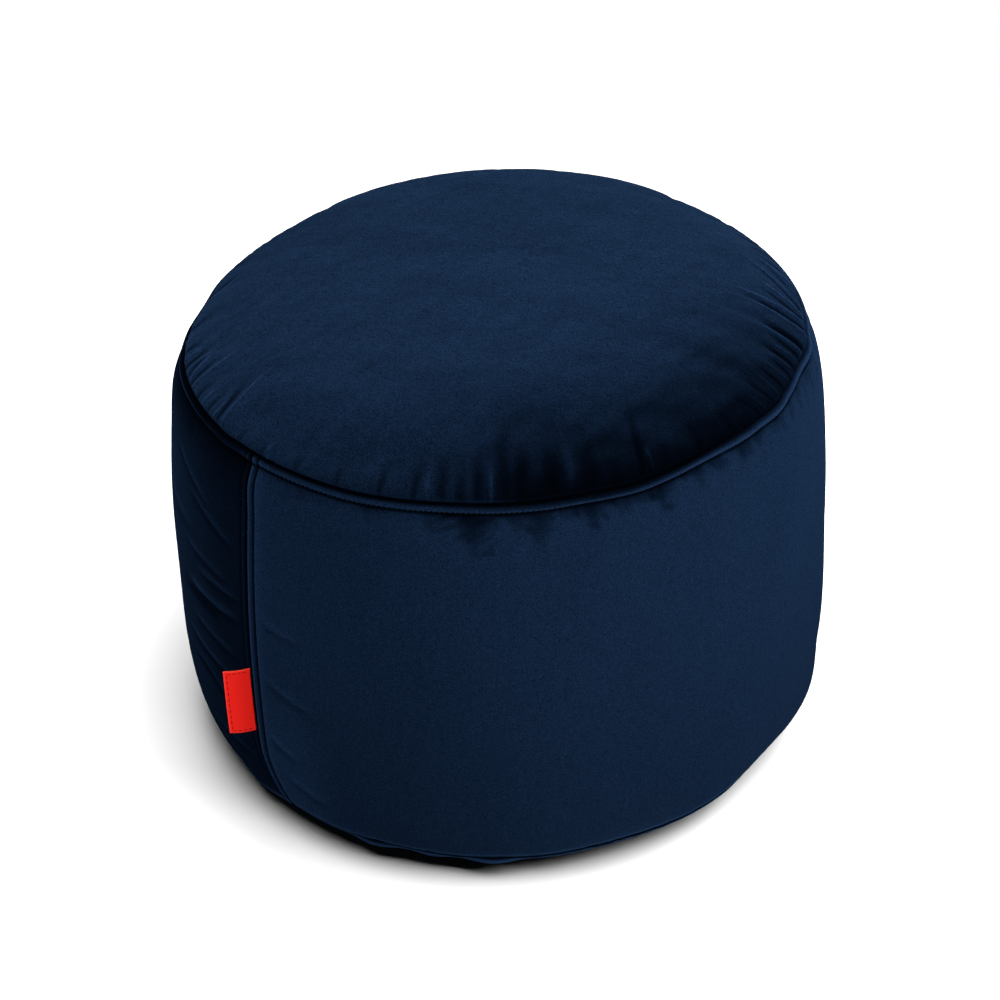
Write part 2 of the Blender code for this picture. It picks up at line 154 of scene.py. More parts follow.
# Tucks radiate from the top seam. A tuck is head_width wide at the seam and foot_width at its end, and
# it turns by slant, in degrees, on the way. A negative depth is a raised ridge.
Tuck = namedtuple("Tuck", "angle reach head_width foot_width depth slant")
CROWN_TUCKS = table(Tuck, (
    (-172, 24, 6, 14, 0.45, 2), (-158, 22, 6, 13, 0.4, -2), (-143, 26, 6, 15, 0.5, 3),
    (-127, 24, 6, 13, 0.45, 2), (-113, 26, 5, 11, 0.7, -6), (-100.5, 32, 3, 7, 1.4, -8),
    (-90, 24, 3, 6, 1.1, -2), (-83, 20, 3, 6, 1.1, 0), (-77.6, 26, 2.4, 4.4, 1.3, -2),
    (-74.6, 24, 1.8, 3, 1.2, -3), (-72.2, 30, 2, 3.6, 1.1, -1.5), (-67.5, 20, 2.4, 5, 0.9, -0.5),
    (-62.2, 20, 2.4, 5, 1.0, -0.5), (-58, 38, 2.4, 5, 1.5, -3.2), (-50, 14, 3, 6, 0.8, 0),
    (-43.6, 12, 2, 4, 0.9, -0.5), (-36, 16, 3, 7, 0.8, 0), (-28, 18, 3, 7, 0.9, 0),
    (-20, 26, 3, 6, 1.1, 0), (-14, 30, 3, 6, 1.3, 0), (-9.2, 40, 5, 8, 1.3, -1),
    (-6, 26, 5, 6, 1.3, -0.3), (-3, 44, 5, 7, 1.5, -0.6), (1.4, 66, 7, 9, 1.5, -0.5),
    (4.2, 52, 6, 8, 1.2, 0.8), (9.5, 48, 8, 11, 1.9, 1.2), (16, 46, 8, 12, 1.6, 1.5),
    (20.5, 26, 5, 8, 0.9, 1), (25.4, 58, 4, 5, 1.9, 4), (30, 26, 6, 9, 0.9, 2),
    (38, 24, 3, 6, 1.1, 1), (46, 24, 3, 6, 1.1, 0), (53.4, 28, 2.2, 4.6, 1.1, -2.2),
    (57.6, 34, 2.2, 4.6, 1.2, -0.6), (62.2, 32, 2.2, 4.2, 1.4, 0.4), (66.2, 28, 1.8, 3.0, 1.2, 0.7),
    (69.2, 38, 2.0, 4.2, 2.3, 1), (72.5, 38, 2.0, 4.0, 1.9, 1.8), (75.6, 44, 3.4, 6.2, 3.6, 2.4),
    (81.7, 60, 2.4, 5.0, 2.4, 3.8), (84.7, 46, 1.8, 4.0, 1.9, 6), (86.4, 46, 1.8, 4.2, 2.0, 16),
    (91.5, 38, 2.2, 4.6, 1.5, 15), (97, 30, 3.0, 6.0, 1.2, 12), (106, 30, 3, 7, 0.9, 8),
    (114, 26, 4, 9, 0.6, 5), (126, 24, 6, 13, 0.45, 3), (141, 26, 6, 13, 0.5, -2),
    (157, 22, 6, 13, 0.4, 2),
))
CROWN_RIDGES = table(Tuck, (
    (-98, 36, 1.4, 2.6, -1.0, -9), (-86.5, 20, 1.4, 2.4, -0.8, -1), (-80, 22, 1.4, 2.4, -0.9, -1),
    (-76, 30, 1.4, 2.0, -1.2, -2), (-73, 28, 1.4, 2.0, -1.3, -4), (-71, 48, 1.5, 2.4, -1.4, -1.3),
    (-65, 20, 1.4, 2.2, -0.9, -0.3), (-59.7, 20, 1.4, 2.2, -0.8, -0.6),
    (-56.2, 52, 1.5, 2.4, -1.6, -3.6), (-42.2, 13, 1.0, 1.6, -0.9, -0.8),
    (-11.5, 30, 3.0, 5.0, -0.4, -0.8), (-0.8, 30, 2.0, 3.4, -1.2, 0), (12.8, 44, 5.0, 7.0, -0.8, 1),
    (27.4, 24, 1.6, 2.6, -2.4, 1), (55.2, 28, 1.4, 2.4, -0.7, -1.6),
    (59.7, 34, 1.4, 2.4, -1.1, 0.8), (64.6, 32, 1.4, 2.4, -1.1, 0.4), (67.6, 32, 1.4, 2.2, -1.2, 1),
    (70.9, 32, 1.4, 2.2, -1.2, 0.9), (73.7, 50, 1.5, 2.4, -1.7, 2.8),
    (79.6, 58, 1.5, 2.6, -1.6, 4.6), (83.6, 66, 1.5, 2.6, -1.8, 3.8), (85.8, 48, 1.4, 2.4, -1.4, 9),
    (87.2, 50, 1.4, 2.6, -1.5, 19), (96.8, 36, 1.4, 2.6, -1.1, 9),
))
WALL_TUCKS = table(Tuck, (
    (-160, 26, 8, 15, 1.2, 0), (-131, 30, 8, 16, 1.4, 0), (-104, 24, 7, 14, 1.2, 0),
    (-82, 22, 5, 10, 1.0, 1), (-66, 26, 5, 10, 1.0, 2), (-56, 18, 5, 9, 0.8, -2),
    (-34, 12, 4, 8, 0.5, 0), (-22, 14, 5, 9, 0.6, 1), (-12, 14, 4, 7, 0.7, 1),
    (-4.6, 34, 14, 4, 1.3, 1), (6.5, 30, 9, 4, 1.1, 0.8), (15.7, 20, 8, 3, 1.0, 0),
    (21.5, 14, 4, 7, 0.7, 0.5), (28, 18, 6, 3, 0.9, 0), (36, 20, 6, 4, 1.0, 1),
    (47, 18, 5, 7, 0.9, -1), (58, 18, 5, 7, 0.9, 0), (66, 22, 3, 6, 0.5, -1),
    (70, 26, 3, 6, 0.6, -2), (74.5, 28, 3, 7, 0.6, -3), (79, 28, 3, 8, 0.6, -4),
    (85, 24, 4, 9, 0.6, -3), (94, 26, 6, 12, 1.1, 0), (118, 28, 7, 15, 1.3, 0),
    (149, 26, 7, 14, 1.2, 0), (173, 24, 7, 13, 1.1, 0),
))
# Under the rib, painted shadows: dark wedges of painted shade. Their depth is how dark they are painted.
WALL_PAINTED_SHADOWS = table(Tuck, (
    (-70, 18, 26, 20, 0.3, 0), (-34, 9, 22, 16, 0.3, 0), (-20, 8, 14, 8, 0.45, 0),
    (-9, 12, 10, 5, 0.55, 0), (-4, 20, 19, 6, 0.86, 1.5), (3, 13, 12, 6, 0.75, 1),
    (7.5, 17, 12, 4, 0.7, 0.8), (12, 8, 10, 6, 0.6, 0), (16.5, 16, 14, 4, 0.8, -0.4),
    (21, 8, 10, 6, 0.6, 0), (25, 10, 10, 7, 0.7, 0), (29.5, 17, 11, 4, 0.82, -0.4),
    (35, 9, 12, 5, 0.7, 2), (40.5, 12, 8, 4, 0.6, 2), (46, 10, 11, 5, 0.65, 2),
    (51.5, 12, 6, 3, 0.55, -1), (57, 9, 9, 4, 0.55, -1), (63, 13, 5, 3, 0.45, -2),
    (68, 16, 4, 2.5, 0.35, -3), (73.5, 18, 4, 2.5, 0.3, -4),
))
# Creases run across the wall from one place to another, bowed sideways. Each is a soft trough with a
# raised lip beside it.
Crease = namedtuple("Crease", "angle height end_angle end_height bow half_width depth lip")
WALL_CREASES = table(Crease, (
    (-67, 180, -46.8, 189, 1, 3.6, 1.2, 1.3), (-70, 171, -52, 178, 0, 3.4, 1.1, 0.0),
    (-62, 202, -46.8, 208, 0, 3.0, 0.8, 0.9), (-70, 125, -50, 125, -2, 3.4, 1.0, 1.0),
    (-68, 106, -52, 92, -8, 3.6, 1.0, 0.5), (-66, 151, -48, 152, 0, 3.2, 0.8, 0.9),
    (-66, 268, -48, 249, 0, 3.4, 0.7, 0.8), (-68, 216, -49, 217, 0, 3.2, 0.6, 0.7),
    (-73, 289, -55, 265, 0, 3.6, 0.6, 0.7), (-62, 57, -47, 58, 0, 3.2, 0.7, 0.7),
    (-84, 240, -62, 232, 6, 5.0, 0.4, 0.4), (-43.4, 204, -33, 199, 2, 3.0, 0.4, 0.3),
    (-43.4, 152, -31, 138, 3, 3.4, 0.5, 0.4), (-43, 96, -36, 83, 2, 3.4, 0.5, 0.4),
    (-41, 62, -30, 50, 2, 4.0, 0.4, 0.3), (118, 215, 156, 120, 12, 9.0, 0.35, 0.2),
    (-158, 240, -118, 190, 12, 8.0, 0.35, 0.2), (164, 95, 200, 60, 9, 9.0, 0.3, 0.2),
    (98, 90, 128, 56, 8, 8.0, 0.25, 0.15),
))
# Section of the rolled hem that covers the lower seam, once round. It has painted shade at the left.
HEM = table(Station, (
    (231.0, 22.6), (234.4, 23.1), (236.4, 23.2), (236.9, 22.2), (236.2, 20.9), (234.0, 18.9),
    (231.0, 17.6), (229.0, 19.8),
))
HEM_SHADED_MIDDLE = math.radians(-80)
HEM_SHADED_HALF_TURN = math.radians(44)

Lip = namedtuple("Lip", "angle half_turn bulge")
LIPS = table(Lip, (
    (-162, 9, 6), (-118, 7, 5), (-84, 10, 5), (-52, 8, 3), (-23, 6, 4), (-12.7, 4, 2),
    (-1.5, 6.5, 4.5), (20, 16, 0.5), (58, 9, 1), (96, 8, 6), (137, 10, 5),
))
BASE_LIP_SHARE = 0.3

# The crown rolls a little over its seam, and at the front it has a fold line beside the seam.
SEAM_ROLL = 0.8 * MM
SEAM_ROLL_REACH = 3 * MM
TUCKED_REACH = 45 * MM
FOLD_LINE_PLACE = 3.4 * MM
FOLD_LINE_HALF_WIDTH = 0.6 * MM
FOLD_LINE_DEPTH = 0.5 * MM
FOLD_LINE_LIP = 1.4 * MM
FOLD_LINE_MIDDLE = math.radians(11)
FOLD_LINE_HALF_TURN = math.radians(26)

# ---------------------------------------------------------------- painted light and shade, and how the pile lies

# Painted light over relief: painted highlights on ridges and painted shade in troughs, by a share for
# each millimetre of relief. The finest relief is painted more or less strongly than that.
PAINTED_LIGHT_SHARE = 0.7
DEEPEST_PAINTED_SHADE = 0.03
BRIGHTEST_PAINTED_LIGHT = 2.4
CROWN_RIDGE_SHOW = 1.5
WALL_TUCK_SHOW = 0.5
WALL_CREASE_SHOW = 1.5

# The crown's tone, painted darker at the back; painted shade along its seam, its front edge and in a
# band within it; the fold line painted dark with a painted highlight beside it.
CROWN_TONE = 0.87
BACK_SHADED_TONE = 0.68
CROWN_LINE_REACH = 1.0 * MM
CROWN_SHADE = 0.97
CROWN_SHADE_REACH = 74 * MM
CROWN_SHADE_POWER = 1.6
CROWN_SHADE_UNEVENNESS = 4 * MM
CROWN_MARKS = 0.035
CROWN_MARKS_FROM = 20 * MM
SHADED_BAND_PLACE = 80 * MM
SHADED_BAND_HALF_WIDTH = 48 * MM
SHADED_BAND_MIDDLE = math.radians(-14)
SHADED_BAND_HALF_TURN = math.radians(40)
SHADED_BAND_DEPTH = 0.12
FOLD_LINE_SHADE = 0.7
FOLD_LIP_LIGHT = 1.2

# Left of the upright seam the wall is brushed the other way, over a part of its way round.
BRUSH_LINE = math.radians(0.6)
BRUSHED_TURN = math.radians(85)
LEFT_LIE = 0.26
LEFT_LIE_FURTHER = 0.36
FURTHER_TURN = math.radians(20)
# Painted shade under the rib left of the seam, low on the wall, just under the rib and along the seams;
# a lighter low band; a painted highlight on the rim above the base.
RIB_SHADE = 0.92
RIB_SHADE_REACH = 23 * MM
RIB_SHADE_TURN = math.radians(32)
RIB_SHADE_SPREAD = 1.8
RIB_FOOT_SHADE = 0.4
RIB_FOOT_REACH = 4 * MM
WALL_SHADE = 0.22
WALL_SHADE_REACH = 240 * MM
LOW_BAND_TOP = 150 * MM
LOW_BAND_FADE = 60 * MM
LOW_BAND_MIDDLE = math.radians(-38)
LOW_BAND_HALF_TURN = math.radians(11)
LOW_BAND_LIGHT = 0.3
SEAM_SHADE_REACH = 1.5 * MM
SEEN_BASE_HEIGHT = 25.5 * MM
FOOT_RIM_PLACE = 3.0 * MM
FOOT_RIM_HALF_WIDTH = 1.6 * MM
FOOT_RIM_LIGHT = 0.9
# The hem is painted dark, with a painted highlight along its edge and painted shade at the left.
HEM_PAINTED_SHADE = 0.06
HEM_EDGE_HIGHLIGHT = 1.55
HEM_SHADE = 0.8
# The base is painted lighter, for the light on the roll of its edge.
BASE_PAINTED_LIGHT = 1.5

# The rib's painted light and shade, from its upper edge to its lower one (share) and going round (the
# list of angles).
RIB_PAINTED_ANGLES = (-180, -110, -78, -68, -62, -49, -44, -12, 0, 18, 38, 60, 80, 180)
RibPaintedRow = namedtuple("RibPaintedRow", "share naps")
RIB_PAINTED_LEVELS = table(RibPaintedRow, (
    (0.0, (0.2, 0.1, 0.0, 0.0, 0.0, 0.0, 0.0, 0.0, 0.0, 0.0, 0.0, 0.3, 0.5, 0.2)),
    (0.12, (0.6, 0.3, 0.02, 0.02, 0.02, 0.05, 0.25, 0.3, 0.2, 0.05, 0.15, 0.6, 1.2, 0.6)),
    (0.25, (1.0, 0.6, 0.15, 0.1, 0.1, 0.15, 0.75, 0.8, 0.45, 0.12, 0.35, 1.2, 1.5, 1.0)),
    (0.37, (1.2, 0.9, 0.4, 0.15, 0.15, 0.2, 1.0, 1.05, 0.6, 0.22, 0.8, 1.5, 1.6, 1.2)),
    (0.5, (1.3, 1.2, 1.8, 0.4, 0.2, 0.25, 1.2, 1.2, 0.95, 0.45, 1.25, 1.6, 1.6, 1.3)),
    (0.62, (1.3, 1.2, 2.4, 1.2, 0.3, 0.25, 1.25, 1.25, 1.2, 0.8, 1.55, 1.6, 1.5, 1.3)),
    (0.75, (1.2, 1.2, 2.4, 2.2, 0.5, 0.35, 1.25, 1.3, 1.45, 1.25, 1.6, 1.4, 1.2, 1.2)),
    (0.84, (1.0, 1.0, 2.4, 2.4, 1.2, 0.6, 1.2, 1.2, 1.45, 1.5, 1.5, 1.2, 0.9, 1.0)),
    (0.95, (0.6, 0.6, 1.5, 1.5, 0.8, 0.4, 0.7, 0.6, 0.6, 0.6, 0.7, 0.6, 0.5, 0.6)),
    (1.0, (0.1, 0.1, 0.0, 0.0, 0.0, 0.0, 0.0, 0.0, 0.0, 0.0, 0.1, 0.2, 0.2, 0.1)),
))

# How strongly the crown's edge is painted with shade, going round.
EdgeShade = namedtuple("EdgeShade", "angle share")
CROWN_EDGE_SHADE = table(EdgeShade, (
    (-70, 0.0), (-55, 0.15), (-40, 0.2), (-20, 0.36), (-12, 0.45), (-4, 0.6), (4, 0.97), (10, 1.0),
    (50, 1.0), (60, 0.9), (70, 0.78), (80, 0.45), (92, 0.12), (110, 0.0),
))
# Brush marks and the painted shadows under the rib are uneven by waves of these lengths, from the
# shortest to the longest.
MOTTLE_WAVES = 18
MOTTLE_TURNS = (-0.5, 1.3)
CROWN_WAVES = (14, 55)
SHADOW_WAVES = (7, 24)
SHADOW_END_UNEVENNESS = 0.22
SHADOW_SIDE_UNEVENNESS = 0.15
SHADOW_SPREAD = 1.4

# ---------------------------------------------------------------- fineness of the meshes

CROWN_COLUMNS = 1060
CROWN_ROWS = 92
Crowding = namedtuple("Crowding", "angle half_turn density")
CROWN_CROWDING = table(Crowding, (
    (-76, 14, 2.4), (-62, 14, 2.4), (5, 45, 1.0), (70, 22, 2.6), (92, 22, 2.6),
))
WALL_CROWDING = table(Crowding, ((0, 110, 0.8), (-45.2, 5, 4.0), (-62, 22, 0.6)))
WALL_COLUMNS = 860
WALL_ROWS = 108
WALL_LENGTH = 320 * MM
BASE_COLUMNS = 600
BASE_ROWS = 16
RIB_ROWS = 16
RIB_INNER_RISE = -0.8 * MM
RIB_PINCH = 0.6 * MM
RIB_PINCH_FROM = 0.55
RIB_PINCH_SPAN = 0.35
RIB_PINCH_TURN = math.radians(22)
RIB_PINCH_FADE = math.radians(25)
RIB_CROSSING_SHARE = 0.7
HEM_ROWS = 17
STITCH_PITCH = 3.5 * MM
COLUMNS_PER_STITCH = 5
STITCH_SHARE = 0.72
THREAD_THICKNESS = 0.6 * MM
THREAD_LIFT = 0.06 * MM
UPRIGHT_STITCHES = (-5.0, 8.9)
RIB_STITCH_SHARE = 0.98
RIB_STITCH_RISE = 0.1 * MM
TAB_STITCHES_ACROSS = 4
TAB_STITCHES_DOWN = 10
TAB_STITCH_INSET = 2.4 * MM
TAB_THREAD_THICKNESS = 0.55 * MM
LINE_STEPS = 24
FINE_LINE = 2000
CROWDED_STEPS = 6000
MERGE_DISTANCE = 0.02 * MM
SHARP_ANGLE = math.radians(60)

# The cloth's simulation, on a coarser grid. Cloth that is eased into a seam is larger than the seam.
EASED_COLUMNS = 420
EASED_ROWS = 44
EASED_FRAMES = 18
EASE = -0.06
EASE_REACH = 25 * MM
CROWN_EASE_LIMIT = 70 * MM
BACK_FLATNESS = 0.55
LARGEST_SHIFT = 4 * MM
UNEVENNESS = 0.1 * MM
SEWN_HALF_WIDTH = 9 * MM
VELVET_CLOTH = {
    "quality": 6,
    "mass": 0.2,
    "tension_stiffness": 25.0,
    "compression_stiffness": 25.0,
    "shear_stiffness": 8.0,
    "bending_stiffness": 0.2,
    "use_pressure": True,
    "uniform_pressure_force": 3.0,
    "vertex_group_mass": "held",
    "vertex_group_shrink": "eased",
    "shrink_min": 0.0,
    "shrink_max": EASE,
}


def smooth_step(share):
    """Runs from 0 to 1 with no corner at either end."""
    share = np.clip(share, 0.0, 1.0)
    return share * share * (3.0 - 2.0 * share)


def hump(share):
    """A smooth hump: 1 at the middle, 0 from -1 outwards and from 1 outwards."""
    return np.cos(np.clip(share, -1.0, 1.0) * np.pi / 2.0) ** 2


def turn_between(angle, other):
    """The shorter way round from one angle to another."""
    return (angle - other + np.pi) % (2.0 * np.pi) - np.pi


def hump_at(angle, place):
    """A smooth hump round a table row's angle, as wide as its half turn."""
    return hump(turn_between(angle, math.radians(place.angle)) / math.radians(place.half_turn))


def line_length(line):
    """How far along a line each of its points lies."""
    return np.concatenate([[0.0], np.cumsum(np.linalg.norm(np.diff(line, axis=0), axis=1))])


def points_along(line, along, places):
    """The points at places along a line."""
    return np.column_stack([np.interp(places, along, line[:, axis]) for axis in (0, 1)])


def smooth_line(points, count):
    """Places count points, evenly spaced, on a smooth line through the given ones."""
    points = np.array(points, float)
    ends = np.vstack([2 * points[0] - points[1], points, 2 * points[-1] - points[-2]])
    fine = []
    for before, start, end, after in zip(ends, ends[1:], ends[2:], ends[3:]):
        for share in np.linspace(0.0, 1.0, LINE_STEPS, endpoint=False):
            pull = 0.5 * (end - before) * (share ** 3 - 2 * share ** 2 + share)
            pull += 0.5 * (after - start) * (share ** 3 - share ** 2)
            fine.append(start + (end - start) * (3 * share ** 2 - 2 * share ** 3) + pull)
    fine = np.array(fine + [points[-1]])
    along = line_length(fine)
    return points_along(fine, along, np.linspace(0.0, along[-1], count))


def crowded(count, first, last, density):
    """Places count values from first to last, close together where the density is high."""
    fine = np.linspace(first, last, CROWDED_STEPS)
    middles = (fine[1:] + fine[:-1]) / 2.0
    filled = np.concatenate([[0.0], np.cumsum(density(middles))])
    return np.interp(np.linspace(0.0, filled[-1], count), filled, fine)


def crowded_columns(count, crowding):
    """Angles of the columns of cloth, closer together at some places."""

    def density(angle):
        return 1.0 + sum(place.density * hump_at(angle, place) for place in crowding)

    return crowded(count + 1, 0.0, 2.0 * np.pi, density)[:-1]


def even_columns(count):
    """Angles of evenly spaced columns of cloth."""
    return np.arange(count) * 2.0 * np.pi / count


def graded_line(points, count, density):
    """A smooth line through the points, with count places that follow a density over its length."""
    fine = smooth_line(points, FINE_LINE)
    along = line_length(fine)
    return points_along(fine, along, crowded(count, 0.0, along[-1], density))


def section_line(stations):
    """The radii and heights of a section's stations, in metres."""
    return [(station.radius * MM, station.height * MM) for station in stations]


def blended(grid, row, column):
    """A grid's values at places between its rows and columns."""
    top = np.minimum(np.floor(row).astype(int), grid.shape[0] - 2)
    left = np.minimum(np.floor(column).astype(int), grid.shape[1] - 2)
    down, across = row - top, column - left
    upper = grid[top, left] * (1.0 - across) + grid[top, left + 1] * across
    lower = grid[top + 1, left] * (1.0 - across) + grid[top + 1, left + 1] * across
    return upper * (1.0 - down) + lower * down


# ---------------------------------------------------------------- relief of the cloth


def swelling(swells, angle, height):
    """How far the filling pushes a panel out, or lets it in."""
    out = np.zeros_like(angle)
    for swell in swells:
        up = (height - swell.height * MM) / (swell.half_height * MM)
        out += swell.out * MM * hump_at(angle, swell) * hump(up)
    return out


def tuck_depth(tucks, angle, radius, from_seam):
    """Depth of the tucks at a distance from the seam."""
    depth = np.zeros_like(angle)
    for tuck in tucks:
        along = np.clip(from_seam / (tuck.reach * MM), 0.0, 1.0)
        middle = np.radians(tuck.angle + tuck.slant * along)
        half_width = (tuck.head_width + (tuck.foot_width - tuck.head_width) * along) * MM
        across = turn_between(angle, middle) * radius / half_width
        deepening = smooth_step(along / TUCK_ROOT_SHARE)
        fading = 1.0 - smooth_step((along - TUCK_FADE_SHARE) / (1.0 - TUCK_FADE_SHARE))
        depth += tuck.depth * MM * hump(across) * deepening * fading
    return depth


def fine_puckers(seed, count, reach, half_width, depth):
    """Small tucks at uneven places round a seam, as rows of a tuck table. Each range is in mm."""
    draw = np.random.default_rng(seed)
    rows = []
    for index in range(count):
        angle = (index + draw.uniform(-0.4, 0.4)) * 360.0 / count
        width = draw.uniform(*half_width)
        length, deep, slant = draw.uniform(*reach), draw.uniform(*depth), draw.uniform(-2.0, 2.0)
        rows.append(Tuck(angle, length, width, width * 1.8, deep, slant))
    return rows


def over_seam(angle, values, plain):
    """A value over the upright seam's section, and a plain one beside it."""
    offset = turn_between(angle, UPRIGHT_SEAM_ANGLE) * WIDEST_RADIUS / MM
    return np.interp(offset, [point.offset for point in UPRIGHT_SEAM], values, left=plain, right=plain)


def seam_section(angle):
    """Height of the upright seam's section over the plain wall."""
    return over_seam(angle, [point.rise for point in UPRIGHT_SEAM], 0.0) * MM


def seam_painted_light(angle):
    """The upright seam's painted light against the plain wall's: shade in its valleys, a highlight on
    its ridge.
    """
    return over_seam(angle, [point.nap for point in UPRIGHT_SEAM], 1.0)


def crease_relief(creases, angle, height):
    """Relief of the creases that run across the wall."""
    rise = np.zeros_like(angle)
    for crease in creases:
        start = np.array([0.0, crease.height])
        turn = turn_between(math.radians(crease.end_angle), math.radians(crease.angle))
        end = np.array([turn * WIDEST_RADIUS / MM, crease.end_height])
        length = np.linalg.norm(end - start)
        ahead = (end - start) / length
        aside = np.array([-ahead[1], ahead[0]])
        place = np.column_stack([
            turn_between(angle, math.radians(crease.angle)) * WIDEST_RADIUS / MM,
            height / MM,
        ]) - start
        along = place @ ahead / length
        bow = crease.bow * 4.0 * along * (1.0 - along)
        across = (place @ aside + bow) / crease.half_width
        fading = smooth_step(along / 0.3) * smooth_step((1.0 - along) / 0.3)
        trough = crease.depth * np.exp(-across ** 2)
        lip = crease.lip * np.exp(-((across - 1.5) / 0.9) ** 2)
        rise += (lip - trough) * fading * MM
    return rise


def lip_bulge(angle):
    """How far the lips along the lower seam are drawn out."""
    bulge = np.zeros_like(angle)
    for lip in LIPS:
        bulge += lip.bulge * MM * hump_at(angle, lip)
    return bulge


CROWN_PUCKERS = fine_puckers(SEED, 150, (6, 16), (1.8, 3.4), (0.1, 0.35))
WALL_PUCKERS = fine_puckers(SEED + 1, 130, (6, 16), (2.4, 4.4), (0.1, 0.35))
FOOT_PUCKERS = fine_puckers(SEED + 2, 90, (10, 26), (3.0, 6.0), (0.2, 0.6))


def rib_foot_height():
    """Height of the rib's lower stitch line."""
    return TOP_SEAM_HEIGHT - SEAM_GAP - RIB_WIDTH * math.sin(RIB_SLOPE)


def below_rib(height):
    """How far a height is below the rib."""
    return np.maximum(rib_foot_height() - height, 0.0)


def above_base(height):
    """How freely the wall moves above the base seam: 0 at the seam, 1 a little over it."""
    return smooth_step((height - BASE_SEAM_HEIGHT) / BASE_SEAM_HOLD)


def main_wall_relief(angle, radius, height):
    """How far the wall stands out in the main: its swelling, and the tucks under the rib."""
    rise = swelling(WALL_SWELLS, angle, height)
    rise -= tuck_depth(WALL_TUCKS, angle, radius, below_rib(height))
    return rise * above_base(height)


def wall_relief(angle, radius, height):
    """How far the wall stands out, with its upright seam, creases and small puckers."""
    from_base = np.maximum(height - BASE_SEAM_HEIGHT, 0.0)
    rise = seam_section(angle) + crease_relief(WALL_CREASES, angle, height)
    rise -= tuck_depth(WALL_PUCKERS, angle, radius, below_rib(height))
    rise -= tuck_depth(FOOT_PUCKERS, angle, radius, from_base)
    return main_wall_relief(angle, radius, height) + rise * above_base(height)


def fold_line(angle, from_seam):
    """Where the crown's fold line is: 1 on it, and 0 away from it."""
    across = (from_seam - FOLD_LINE_PLACE) / FOLD_LINE_HALF_WIDTH
    return np.exp(-across ** 2) * hump(turn_between(angle, FOLD_LINE_MIDDLE) / FOLD_LINE_HALF_TURN)


def crown_distance(radius, height):
    """How far a point of the crown is from its seam."""
    return np.hypot(TOP_SEAM_RADIUS - radius, height - TOP_SEAM_HEIGHT)


def main_crown_relief(angle, radius, height):
    """How far the crown stands out in the main: its swelling, less the tucks at its seam."""
    from_seam = crown_distance(radius, height)
    rise = swelling(CROWN_SWELLS, angle, from_seam) * smooth_step(from_seam / CROWN_SEAM_HOLD)
    return rise - tuck_depth(CROWN_TUCKS, angle, radius, from_seam)


def crown_relief(angle, radius, height):
    """How far the crown stands out, with its sharp ridges and small puckers."""
    from_seam = crown_distance(radius, height)
    rise = main_crown_relief(angle, radius, height)
    for tucks in (CROWN_RIDGES, CROWN_PUCKERS):
        rise -= tuck_depth(tucks, angle, radius, from_seam)
    roll = from_seam / SEAM_ROLL_REACH
    rise += SEAM_ROLL * roll * np.exp(1.0 - roll)
    return rise - FOLD_LINE_DEPTH * fold_line(angle, from_seam)


def seam_swing(angle, share):
    """How far the cloth near the upright seam swings round, at a share of the height."""
    foot = SEAM_FOOT_SWING * smooth_step(1.0 - share / FOOT_SWING_SHARE)
    head = SEAM_HEAD_SWING * smooth_step((share - 1.0 + HEAD_SWING_SHARE) / HEAD_SWING_SHARE)
    nearness = 1.0 - smooth_step(np.abs(turn_between(angle, UPRIGHT_SEAM_ANGLE)) / SWING_SPREAD)
    return (foot + head) * nearness


def settled(angle, radius, height):
    """The places that points of the upright, even drum settle to."""
    share = (height - BASE_SEAM_HEIGHT) / (TOP_SEAM_HEIGHT - BASE_SEAM_HEIGHT)
    share = np.clip(share, 0.0, 1.0)
    radius = radius + swelling(RING_SWELLS, angle, height) * radius / TOP_SEAM_RADIUS
    turned_angle = angle + seam_swing(angle, share)
    to_right = radius * np.sin(turned_angle)
    to_back = -radius * np.cos(turned_angle)
    climb = RISE_TO_RIGHT * to_right + RISE_TO_BACK * to_back
    return np.column_stack([to_right - LEAN_TO_LEFT * share, to_back, height + climb * share])


# ---------------------------------------------------------------- making the pieces


def link(name, data):
    """Puts an object with this data in the scene."""
    thing = bpy.data.objects.new(name, data)
    bpy.context.scene.collection.objects.link(thing)
    return thing


def mesh_from(shape, name):
    """Ends a shape as a mesh."""
    mesh = bpy.data.meshes.new(name)
    shape.to_mesh(mesh)
    shape.free()
    return mesh


def mesh_points(mesh):
    """The mesh's points, as rows of x, y, z."""
    flat = np.empty(len(mesh.vertices) * 3)
    mesh.vertices.foreach_get("co", flat)
    return flat.reshape(-1, 3)


def set_points(mesh, points):
    """Moves the mesh's points."""
    mesh.vertices.foreach_set("co", points.ravel())
    mesh.update()


def set_tone_and_painted_light(mesh, nap):
    """Keeps the tone with its painted light and shade, point by point, for the velvet to read."""
    attribute = mesh.attributes.new("nap", "FLOAT", "POINT")
    attribute.data.foreach_set("value", nap.astype(np.float32))


def close_cloth(mesh, open_sheet=False):
    """Joins the cloth's edges where they meet, and turns its faces outwards.

    An open sheet has no outside, so its faces are turned away from the axis or up.
    """
    cloth = bmesh.new()
    cloth.from_mesh(mesh)
    bmesh.ops.remove_doubles(cloth, verts=cloth.verts, dist=MERGE_DISTANCE)
    bmesh.ops.recalc_face_normals(cloth, faces=cloth.faces)
    if open_sheet:
        faced = sum(face.normal.dot(face.calc_center_median().normalized()) for face in cloth.faces)
        if faced < 0.0:
            bmesh.ops.reverse_faces(cloth, faces=cloth.faces)
    cloth.to_mesh(mesh)
    cloth.free()


